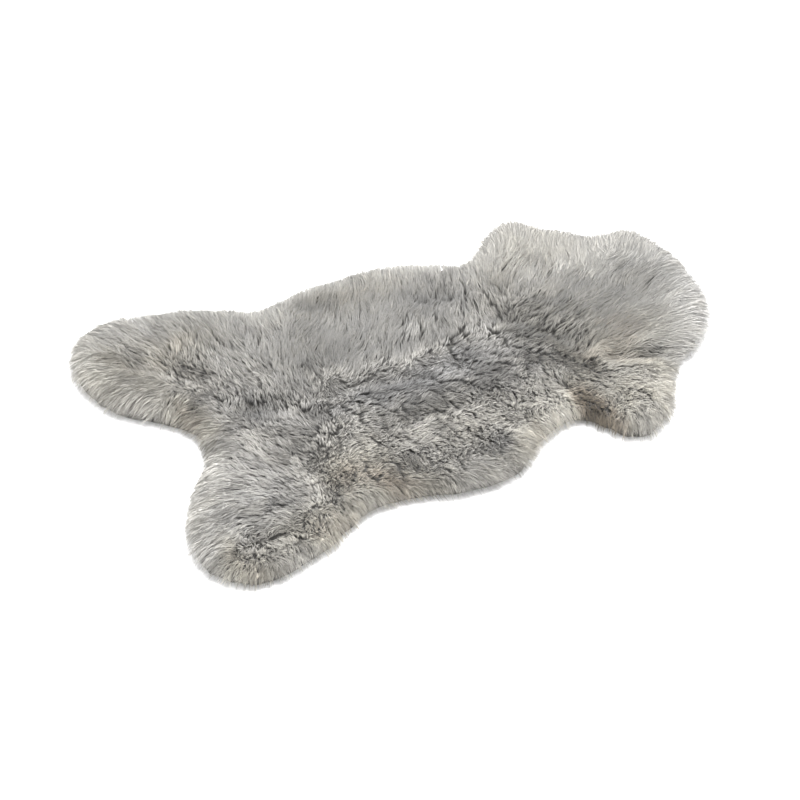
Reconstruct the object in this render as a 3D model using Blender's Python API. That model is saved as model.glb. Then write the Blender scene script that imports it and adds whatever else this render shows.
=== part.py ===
"""A sheepskin rug lying flat: a tanned hide and the fleece that grows from it, as two closed solids.

Units are metres and +Z is up. The origin is on the floor under the middle of the rug, +X runs
along the spine to the neck and +Y points to the animal's left side. The landmark and parting
tables are in millimetres, as a furrier's pattern would be.
"""

import math
import random
from collections import namedtuple

import bmesh
import bpy
from mathutils import Vector, noise
from mathutils.geometry import delaunay_2d_cdt

MM = 0.001

# Driving sizes.
HIDE_THICKNESS = 2.0 * MM
SEAT_GAP = 0.3 * MM  # between the hide and the wool solid over it
WOOL_OVERHANG = 38 * MM  # how far the wool reaches past the hide's cut edge
PILE_HEIGHT = 50 * MM  # mean height of the wool's surface above the floor
SHOULDER_REACH = 44 * MM  # the wool rounds over to its full height this far in from the rim

# Locks at the rim.
RIM_LOCKS = 256
LOCK_TIP_HEIGHT = 11 * MM
LOCK_REACH = 4 * MM  # a lock's tip stands this far outside the outline
LOCK_CLEFT = 8 * MM  # the cleft between two locks lies this far inside it
LOCK_SWAY = 1.2 * MM  # and this far to either side of its even place
LOCK_RIDGE = 3 * MM  # half the height from a cleft up to a lock's back
LOCK_SPREAD = 0.35  # share by which lengths and heights vary from lock to lock

# Underside of the wool round the hide.
DROOP_HEIGHT = 0.9 * MM  # lowest line of the wool, just clear of the floor
DROOP_INSET = 15 * MM
SEAT_INSET = 27 * MM  # from here inwards the wool lies level over the hide

# Relief of the upper face.
TUFT_PITCH = 15.5 * MM
HUMP_SIZE, HUMP_HEIGHT = 85 * MM, 7 * MM
TUFT_SIZE, TUFT_HEIGHT = 27 * MM, 4.5 * MM
RING_INSETS = (13 * MM, 26 * MM)  # rows of points between the rim and the even grid

OUTLINE_STEPS = 10  # points of the smooth outline from one landmark to the next
HIDE_PITCH = 18 * MM
UNDERSIDE_PITCH = 55 * MM
HIDE_SMOOTHINGS = 2
SEED = 11

Landmark = namedtuple("Landmark", "name x y")
Parting = namedtuple("Parting", "name x0 y0 x1 y1 depth half_width")

# The fleece's outline, anticlockwise from the neck, in millimetres.
LANDMARKS = [
    Landmark("neck end", 522, 27),
    Landmark("neck, left side", 508, 104),
    Landmark("neck corner, left", 483, 162),
    Landmark("collar dip, left", 413, 173),
    Landmark("foreleg front, left", 361, 214),
    Landmark("foreleg toe front, left", 308, 260),
    Landmark("foreleg toe back, left", 259, 257),
    Landmark("foreleg back, left", 218, 223),
    Landmark("armpit, left", 176, 202),
    Landmark("ribs front, left", 124, 223),
    Landmark("ribs, left", 62, 248),
    Landmark("belly, left", -18, 259),
    Landmark("flank, left", -101, 256),
    Landmark("waist, left", -174, 245),
    Landmark("thigh front, left", -250, 276),
    Landmark("thigh, left", -331, 304),
    Landmark("hind leg outer, left", -416, 323),
    Landmark("hind toe outer, left", -488, 300),
    Landmark("hind toe, left", -522, 220),
    Landmark("hind leg inner, left", -492, 129),
    Landmark("rump, left", -433, 72),
    Landmark("tail notch, left", -394, 30),
    Landmark("tail notch", -391, -6),
    Landmark("tail notch, right", -403, -52),
    Landmark("rump, right", -442, -102),
    Landmark("hind leg inner, right", -486, -173),
    Landmark("hind toe, right", -494, -242),
    Landmark("hind toe outer, right", -466, -290),
    Landmark("hind leg outer, right", -418, -320),
    Landmark("thigh, right", -355, -320),
    Landmark("thigh front, right", -272, -292),
    Landmark("waist back, right", -204, -258),
    Landmark("waist, right", -156, -251),
    Landmark("flank, right", -98, -265),
    Landmark("belly, right", -40, -282),
    Landmark("ribs, right", 22, -286),
    Landmark("ribs front, right", 72, -271),
    Landmark("armpit back, right", 118, -235),
    Landmark("armpit, right", 182, -207),
    Landmark("foreleg back, right", 213, -236),
    Landmark("foreleg toe back, right", 243, -280),
    Landmark("foreleg toe, right", 285, -290),
    Landmark("foreleg toe front, right", 336, -266),
    Landmark("foreleg front, right", 371, -207),
    Landmark("collar fold, right", 414, -157),
    Landmark("neck corner, right", 457, -142),
    Landmark("neck, right side", 492, -97),
    Landmark("neck end, right", 516, -37),
]

# Valleys where the wool falls to two sides, in millimetres.
PARTINGS = [
    Parting("spine over the loin", -196, 6, -45, -12, 16, 17),
    Parting("spine over the ribs", -45, -12, 66, -28, 11, 18),
    Parting("second parting, right ribs", -112, -110, 62, -118, 14, 17),
    Parting("rump whorl", -290, 16, -176, -30, 12, 19),
    Parting("shoulder whorl", 152, 64, 208, 14, 15, 19),
    Parting("withers", 208, 14, 262, -84, 11, 22),
    Parting("collar fold", 300, -118, 440, -168, 24, 15),
    Parting("left thigh crease", -420, 190, -335, 122, 15, 18),
    Parting("right thigh crease", -408, -250, -292, -268, 15, 17),
    Parting("right foreleg crease", 196, -154, 238, -220, 15, 18),
    Parting("right flank crease", -168, -202, -96, -228, 11, 19),
    Parting("left flank dimple", -112, 200, -74, 194, 12, 18),
    Parting("left rib dimple", 84, 134, 118, 130, 11, 18),
    Parting("neck dimple", 396, 8, 424, -18, 11, 22),
]


def clear_scene():
    """Remove every object that the scene opens with."""
    for obj in list(bpy.data.objects):
        bpy.data.objects.remove(obj, do_unlink=True)


def make_material(name, colour, roughness):
    """Return a plain Principled material."""
    material = bpy.data.materials.new(name)
    material.use_nodes = True
    shader = material.node_tree.nodes["Principled BSDF"]
    shader.inputs["Base Color"].default_value = (*colour, 1.0)
    shader.inputs["Roughness"].default_value = roughness
    shader.inputs["Metallic"].default_value = 0.0
    return material


def smooth_outline(landmarks, steps):
    """Return points of a closed Catmull-Rom curve through the landmarks, in metres."""
    knots = [Vector((mark.x, mark.y)) * MM for mark in landmarks]
    points = []
    for i, here in enumerate(knots):
        before = knots[i - 1]
        after = knots[(i + 1) % len(knots)]
        beyond = knots[(i + 2) % len(knots)]
        for step in range(steps):
            t = step / steps
            points.append(
                0.5
                * (
                    2 * here
                    + (after - before) * t
                    + (2 * before - 5 * here + 4 * after - beyond) * t**2
                    + (3 * here - before - 3 * after + beyond) * t**3
                )
            )
    return points


def spaced_along(loop, count):
    """Return count (point, outward normal) pairs, evenly spaced round a closed anticlockwise loop."""
    ends = loop[1:] + loop[:1]
    lengths = [(end - start).length for start, end in zip(loop, ends)]
    pitch = sum(lengths) / count
    pairs = []
    travelled, side = 0.0, 0
    for i in range(count):
        target = i * pitch
        while travelled + lengths[side] < target:
            travelled += lengths[side]
            side += 1
        along = ends[side] - loop[side]
        point = loop[side] + along * ((target - travelled) / lengths[side])
        pairs.append((point, Vector((along.y, -along.x)).normalized()))
    return pairs


def perimeter(loop):
    """Return the length of a closed loop."""
    return sum((loop[i] - loop[i - 1]).length for i in range(len(loop)))


def distance_to_segment(point, start, end):
    """Return the distance in plan from a point to a straight segment."""
    along = end - start
    share = (point - start).dot(along) / along.length_squared
    return (point - start - along * min(1.0, max(0.0, share))).length


def is_inside(point, loop):
    """Return whether a point lies inside a closed loop, by counting crossings."""
    inside = False
    for i, here in enumerate(loop):
        before = loop[i - 1]
        if (here.y > point.y) != (before.y > point.y):
            crossing = here.x + (point.y - here.y) / (before.y - here.y) * (before.x - here.x)
            inside ^= point.x < crossing
    return inside


def inset_of(point, loop):
    """Return how far a point lies inside the loop, and a negative distance outside it."""
    reach = min(distance_to_segment(point, loop[i - 1], loop[i]) for i in range(len(loop)))
    return reach if is_inside(point, loop) else -reach


def inset_ring(outline, count, depth):
    """Return points that lie depth inside the outline, without those that a tight bend crowds."""
    moved = [point - normal * depth for point, normal in spaced_along(outline, count)]
    return [point for point in moved if inset_of(point, outline) > 0.97 * depth]


def grid_points(outline, pitch, least_inset):
    """Return a triangular grid of points that lie at least least_inset inside the outline."""
    row_pitch = pitch * math.sqrt(3) / 2
    half_x = max(abs(point.x) for point in outline)
    half_y = max(abs(point.y) for point in outline)
    rows, columns = int(half_y / row_pitch) + 1, int(half_x / pitch) + 1
    points = []
    for row in range(-rows, rows + 1):
        for column in range(-columns, columns + 1):
            point = Vector(((column + 0.5 * (row % 2)) * pitch, row * row_pitch))
            if inset_of(point, outline) > least_inset:
                points.append(point)
    return points


def relief(point):
    """Return the height of the wool's humps and tufts over its mean surface."""
    hump = noise.noise(Vector((*point, 0.0)) / HUMP_SIZE)
    tuft = noise.noise(Vector((*point, 0.3)) / TUFT_SIZE)
    return hump * HUMP_HEIGHT + tuft * TUFT_HEIGHT


def parting_depth(point):
    """Return how far the partings sink the surface at a point."""
    deepest = 0.0
    for part in PARTINGS:
        start, end = Vector((part.x0, part.y0)) * MM, Vector((part.x1, part.y1)) * MM
        share = distance_to_segment(point, start, end) / (part.half_width * MM)
        deepest = max(deepest, part.depth * MM * math.exp(-share * share))
    return deepest


def upper_height(point, outline):
    """Return the height of the wool's upper face, which rounds over towards the rim."""
    share = min(1.0, max(0.0, inset_of(point, outline)) / SHOULDER_REACH)
    rounding = math.sqrt(1.0 - (1.0 - share) ** 2)
    full = PILE_HEIGHT - LOCK_TIP_HEIGHT + relief(point) - parting_depth(point)
    return LOCK_TIP_HEIGHT + full * rounding


def lower_height(point, outline):
    """Return the height of the wool's underside, which droops outside the hide's edge."""
    inset = inset_of(point, outline)
    seat = HIDE_THICKNESS + SEAT_GAP
    if inset >= SEAT_INSET:
        return seat
    if inset >= DROOP_INSET:
        return DROOP_HEIGHT + (seat - DROOP_HEIGHT) * (inset - DROOP_INSET) / (SEAT_INSET - DROOP_INSET)
    share = 1.0 - max(0.0, inset) / DROOP_INSET
    return DROOP_HEIGHT + (LOCK_TIP_HEIGHT - DROOP_HEIGHT) * share**2


def rim_of_locks(outline, dice):
    """Return the rim as 3-D points, which alternate between a lock's tip and the cleft after it."""
    rim = []
    for i, (point, normal) in enumerate(spaced_along(outline, 2 * RIM_LOCKS)):
        vary = 1.0 + LOCK_SPREAD * dice.uniform(-1.0, 1.0)
        sideways = Vector((-normal.y, normal.x)) * (LOCK_SWAY * dice.uniform(-1.0, 1.0))
        outwards = normal * (LOCK_REACH if is_tip(i) else -LOCK_CLEFT) * vary
        flat = point + sideways + outwards
        rim.append(Vector((flat.x, flat.y, LOCK_TIP_HEIGHT * vary)))
    return rim


def is_tip(index):
    """Return whether a point of the rim is a lock's tip, and not the cleft between two locks."""
    return index % 2 == 0


def lock_backs(outline):
    """Return the first row of points inside the rim, a high one behind each tip and low ones between."""
    backs = []
    for i, (point, normal) in enumerate(spaced_along(outline, 2 * RIM_LOCKS)):
        flat = point - normal * RING_INSETS[0]
        swing = LOCK_RIDGE if is_tip(i) else -LOCK_RIDGE
        backs.append(Vector((flat.x, flat.y, upper_height(flat, outline) + swing)))
    return backs


def add_sheet(mesh, rim_verts, inner_points, spines, facing_up):
    """Fill the rim with triangles through the inner points, as the upper or the lower face.

    With spines, an edge runs from each lock's tip to the inner point behind it.
    """
    corners = [vert.co.xy for vert in rim_verts] + [point.xy for point in inner_points]
    count = len(rim_verts)
    edges = [(i, (i + 1) % count) for i in range(count)]
    if spines:
        edges += [(i, count + i) for i in range(count) if is_tip(i)]
    made = delaunay_2d_cdt(corners, edges, [], 1, 1e-7)
    faces, sources = made[2], made[3]
    verts = list(rim_verts) + [mesh.verts.new(point) for point in inner_points]
    for face in faces:
        ring = [verts[sources[i][0]] for i in face]
        mesh.faces.new(ring if facing_up else ring[::-1])


def make_fleece(outline, material):
    """Return the wool as one lumpy slab with locks at its rim."""
    dice = random.Random(SEED)
    upper = lock_backs(outline)
    flat = inset_ring(outline, RIM_LOCKS, RING_INSETS[1])
    flat += grid_points(outline, TUFT_PITCH, RING_INSETS[1] + 0.6 * TUFT_PITCH)
    upper += [Vector((*point, upper_height(point, outline))) for point in flat]

    flat = inset_ring(outline, RIM_LOCKS, DROOP_INSET)
    flat += inset_ring(outline, RIM_LOCKS, SEAT_INSET)
    flat += grid_points(outline, UNDERSIDE_PITCH, SEAT_INSET + UNDERSIDE_PITCH / 2)
    lower = [Vector((*point, lower_height(point, outline))) for point in flat]

    mesh = bmesh.new()
    rim_verts = [mesh.verts.new(point) for point in rim_of_locks(outline, dice)]
    add_sheet(mesh, rim_verts, upper, spines=True, facing_up=True)
    add_sheet(mesh, rim_verts, lower, spines=False, facing_up=False)
    bmesh.ops.recalc_face_normals(mesh, faces=mesh.faces)
    return finish_object("fleece", mesh, material)


def make_hide(outline, material):
    """Return the tanned hide as a flat sheet, cut a little inside the wool all round."""
    count = round(perimeter(outline) / HIDE_PITCH)
    cut = inset_ring(outline, count, WOOL_OVERHANG)
    for _ in range(HIDE_SMOOTHINGS):
        cut = [0.25 * cut[i - 1] + 0.5 * cut[i] + 0.25 * cut[(i + 1) % len(cut)] for i in range(len(cut))]
    mesh = bmesh.new()
    under = mesh.faces.new([mesh.verts.new((*point, 0.0)) for point in cut])
    raised = bmesh.ops.extrude_face_region(mesh, geom=[under])["geom"]
    top_verts = [item for item in raised if isinstance(item, bmesh.types.BMVert)]
    bmesh.ops.translate(mesh, verts=top_verts, vec=(0.0, 0.0, HIDE_THICKNESS))
    bmesh.ops.recalc_face_normals(mesh, faces=mesh.faces)
    return finish_object("hide", mesh, material)


def finish_object(name, mesh, material):
    """Turn a bmesh into a named object with its material, and return it."""
    data = bpy.data.meshes.new(name)
    mesh.to_mesh(data)
    mesh.free()
    data.materials.append(material)
    obj = bpy.data.objects.new(name, data)
    bpy.context.scene.collection.objects.link(obj)
    return obj


def main():
    """Build the rug."""
    clear_scene()
    outline = smooth_outline(LANDMARKS, OUTLINE_STEPS)
    make_hide(outline, make_material("suede", (0.62, 0.56, 0.47), 0.85))
    make_fleece(outline, make_material("wool", (0.53, 0.52, 0.49), 0.9))


main()
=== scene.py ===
"""Dresses the sheepskin rug: a suede hide, a dense undercoat and combed wool over it.

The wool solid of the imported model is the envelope. The undercoat lies some way under its surface,
and nearly a hundred and eighty thousand strands are rooted in it and end at that surface, combed
the way the groom table says. Sizes are in metres. The groom and patch tables are in millimetres
on the floor plan, with +X along the spine to the neck and +Y to the animal's left side.
"""

import logging
import math
from dataclasses import dataclass, field, fields
from enum import Enum, IntEnum
from typing import NamedTuple

import bpy
import numpy as np
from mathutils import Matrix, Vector
from mathutils.bvhtree import BVHTree
from mathutils.geometry import delaunay_2d_cdt
from mathutils.kdtree import KDTree

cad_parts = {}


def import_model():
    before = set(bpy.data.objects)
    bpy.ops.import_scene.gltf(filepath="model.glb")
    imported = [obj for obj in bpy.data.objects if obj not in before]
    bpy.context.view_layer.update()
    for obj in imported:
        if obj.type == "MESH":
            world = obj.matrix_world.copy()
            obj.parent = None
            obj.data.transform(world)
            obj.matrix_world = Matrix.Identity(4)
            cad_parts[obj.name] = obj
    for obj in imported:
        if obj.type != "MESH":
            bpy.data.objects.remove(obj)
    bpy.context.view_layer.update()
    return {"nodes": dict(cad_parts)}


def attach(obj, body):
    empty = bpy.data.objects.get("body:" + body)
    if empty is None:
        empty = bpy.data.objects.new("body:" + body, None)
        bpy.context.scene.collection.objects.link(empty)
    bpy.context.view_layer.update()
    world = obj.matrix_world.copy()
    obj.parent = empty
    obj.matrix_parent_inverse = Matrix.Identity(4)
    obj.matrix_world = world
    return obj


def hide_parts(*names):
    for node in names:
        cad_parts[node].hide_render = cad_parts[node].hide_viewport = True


log = logging.getLogger("sheepskin")

MM = 0.001
SEED = 27
BODY = "root"
TINT_MAP = "OFBake"  # the mesh layer that holds each point's warmth and lightness


class Region(Enum):
    """The stretches of the pelt that the wool is made in, each a piece of its own."""

    NECK = "wool_neck"
    SHOULDERS = "wool_shoulders"
    RIBS = "wool_ribs"
    LOIN = "wool_loin"
    HIND_LEFT = "wool_hind_left"
    HIND_RIGHT = "wool_hind_right"


class Comb(NamedTuple):
    """One row of the groom: where it is, in mm, and how the wool falls there.

    It falls towards heading, in degrees, and its lay runs from 0, upright, to 1, flat.
    """

    place: str
    x: float
    y: float
    heading: float
    lay: float


class Patch(NamedTuple):
    """An oval stretch of fleece with a warmth of its own and with painted light and shade, in mm
    and degrees.

    Its long axis runs along heading. Warmth is added and light is a factor, both at its middle. The
    light factor is painted light and shade: highlights on crests, shade in partings, hollows and
    shadows.
    """

    place: str
    x: float
    y: float
    along: float
    across: float
    heading: float
    warmth: float
    light: float


GROOM = [
    Comb("left hind toe", -482, 209, 184, 0.80),
    Comb("left hind toe, outer", -458, 284, 142, 0.80),
    Comb("left hind leg, outer", -402, 286, 108, 0.75),
    Comb("left hind leg, upper", -402, 216, 120, 0.62),
    Comb("left hind leg, inner", -440, 118, 180, 0.75),
    Comb("left hind toe, inner", -482, 146, 197, 0.80),
    Comb("left thigh, outer", -345, 256, 100, 0.72),
    Comb("left thigh", -318, 194, 86, 0.60),
    Comb("left thigh whorl", -348, 128, 150, 0.38),
    Comb("left rump", -392, 78, 230, 0.60),
    Comb("left haunch, outer", -275, 230, 95, 0.75),
    Comb("left haunch", -275, 144, 112, 0.62),
    Comb("left haunch, inner", -272, 76, 106, 0.50),
    Comb("rump whorl", -270, 12, 100, 0.40),
    Comb("left loin, outer", -182, 200, 76, 0.72),
    Comb("left loin", -182, 118, 64, 0.72),
    Comb("left loin, inner", -182, 46, 90, 0.62),
    Comb("left ribs back, outer", -100, 200, 62, 0.72),
    Comb("left ribs back", -100, 116, 40, 0.76),
    Comb("left ribs back, inner", -100, 42, 50, 0.72),
    Comb("left ribs, outer", 0, 216, 60, 0.76),
    Comb("left ribs", 0, 126, 54, 0.78),
    Comb("left ribs, inner", 0, 42, 54, 0.72),
    Comb("left ribs front, outer", 84, 198, 66, 0.72),
    Comb("left ribs front", 84, 116, 38, 0.68),
    Comb("left ribs front, rim", 124, 172, 82, 0.60),
    Comb("left ribs front, inner", 62, 52, 76, 0.66),
    Comb("left armpit", 172, 164, 88, 0.70),
    Comb("shoulder whorl, left", 152, 78, 80, 0.60),
    Comb("shoulder whorl, far", 192, 90, 78, 0.60),
    Comb("shoulder whorl", 172, 40, 98, 0.48),
    Comb("shoulder whorl, right", 186, 8, -2, 0.58),
    Comb("shoulder whorl, front", 220, 44, -4, 0.58),
    Comb("left shoulder", 232, 116, 34, 0.70),
    Comb("left foreleg, back", 222, 184, 88, 0.75),
    Comb("left foreleg", 282, 152, 34, 0.76),
    Comb("left foreleg, toe", 282, 220, 78, 0.80),
    Comb("left foreleg, front", 334, 178, 60, 0.80),
    Comb("left neck, back", 330, 66, 25, 0.76),
    Comb("left neck", 400, 78, 22, 0.80),
    Comb("left neck, rim", 402, 130, 62, 0.80),
    Comb("left neck corner", 470, 110, 42, 0.85),
    Comb("neck, back", 282, 12, 24, 0.62),
    Comb("neck", 352, -24, 16, 0.76),
    Comb("neck, front", 450, -2, 20, 0.85),
    Comb("neck end", 500, 34, 10, 0.85),
    Comb("right neck, back", 332, -86, 8, 0.74),
    Comb("right neck", 420, -94, -12, 0.80),
    Comb("right neck corner", 472, -90, -4, 0.85),
    Comb("withers", 262, -64, 18, 0.53),
    Comb("spine, loin", -132, -8, -62, 0.50),
    Comb("spine, ribs back", -60, -26, -24, 0.54),
    Comb("spine, ribs", 12, -22, -56, 0.52),
    Comb("spine, ribs front", 62, -26, -84, 0.52),
    Comb("spine, shoulders", 112, -16, -28, 0.52),
    Comb("spine band, loin", -122, -54, -40, 0.52),
    Comb("spine band, ribs", 0, -68, -46, 0.53),
    Comb("spine band, shoulders", 102, -64, -28, 0.53),
    Comb("spine band, front", 202, -50, -48, 0.52),
    Comb("right ribs back", -150, -144, -84, 0.53),
    Comb("right ribs", -60, -168, -70, 0.55),
    Comb("right ribs back, lower", -84, -210, -104, 0.52),
    Comb("right ribs, lower", -6, -218, -112, 0.52),
    Comb("right ribs front", 44, -166, -80, 0.56),
    Comb("right flank, inner", 108, -138, -92, 0.56),
    Comb("right flank hollow", 34, -212, -100, 0.52),
    Comb("right ribs back, rim", -96, -248, -44, 0.60),
    Comb("right ribs, rim", 0, -262, -26, 0.66),
    Comb("right flank, rim", 88, -240, -50, 0.60),
    Comb("right armpit", 122, -178, -116, 0.56),
    Comb("right shoulder", 182, -128, -104, 0.58),
    Comb("right foreleg, back", 238, -158, -55, 0.52),
    Comb("right foreleg, toe back", 252, -248, -100, 0.52),
    Comb("right foreleg, toe", 300, -252, -86, 0.55),
    Comb("right foreleg", 330, -206, -66, 0.56),
    Comb("right foreleg, front", 344, -156, -34, 0.58),
    Comb("collar", 338, -122, -4, 0.72),
    Comb("right haunch, inner", -250, -54, 158, 0.54),
    Comb("right haunch", -300, -110, 126, 0.56),
    Comb("right haunch, outer", -300, -190, 150, 0.54),
    Comb("right waist", -222, -190, -110, 0.52),
    Comb("right waist, rim", -212, -242, -42, 0.52),
    Comb("tail", -346, -6, 172, 0.52),
    Comb("tail notch, left", -384, 26, 168, 0.66),
    Comb("tail notch, right", -392, -38, 190, 0.74),
    Comb("right rump", -352, -110, 130, 0.60),
    Comb("right rump, rim", -424, -98, 192, 0.74),
    Comb("right thigh", -384, -164, 162, 0.62),
    Comb("right hind leg, inner", -442, -172, 194, 0.76),
    Comb("right hind leg", -452, -228, 192, 0.80),
    Comb("right hind leg, outer", -344, -228, 176, 0.54),
    Comb("right hind leg, crease", -376, -238, 182, 0.60),
    Comb("right hind leg, below the crease", -372, -272, -112, 0.56),
    Comb("right hind toe", -454, -290, 216, 0.38),
    Comb("right thigh, rim", -348, -294, -95, 0.48),
    Comb("right hind toe, outer", -402, -298, -112, 0.38),
    Comb("right thigh front, rim", -288, -268, -82, 0.46),
]

# The light factors paint light and shade on the fleece: highlights on crests, shade in partings,
# whorls, hollows and under the legs.
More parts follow.
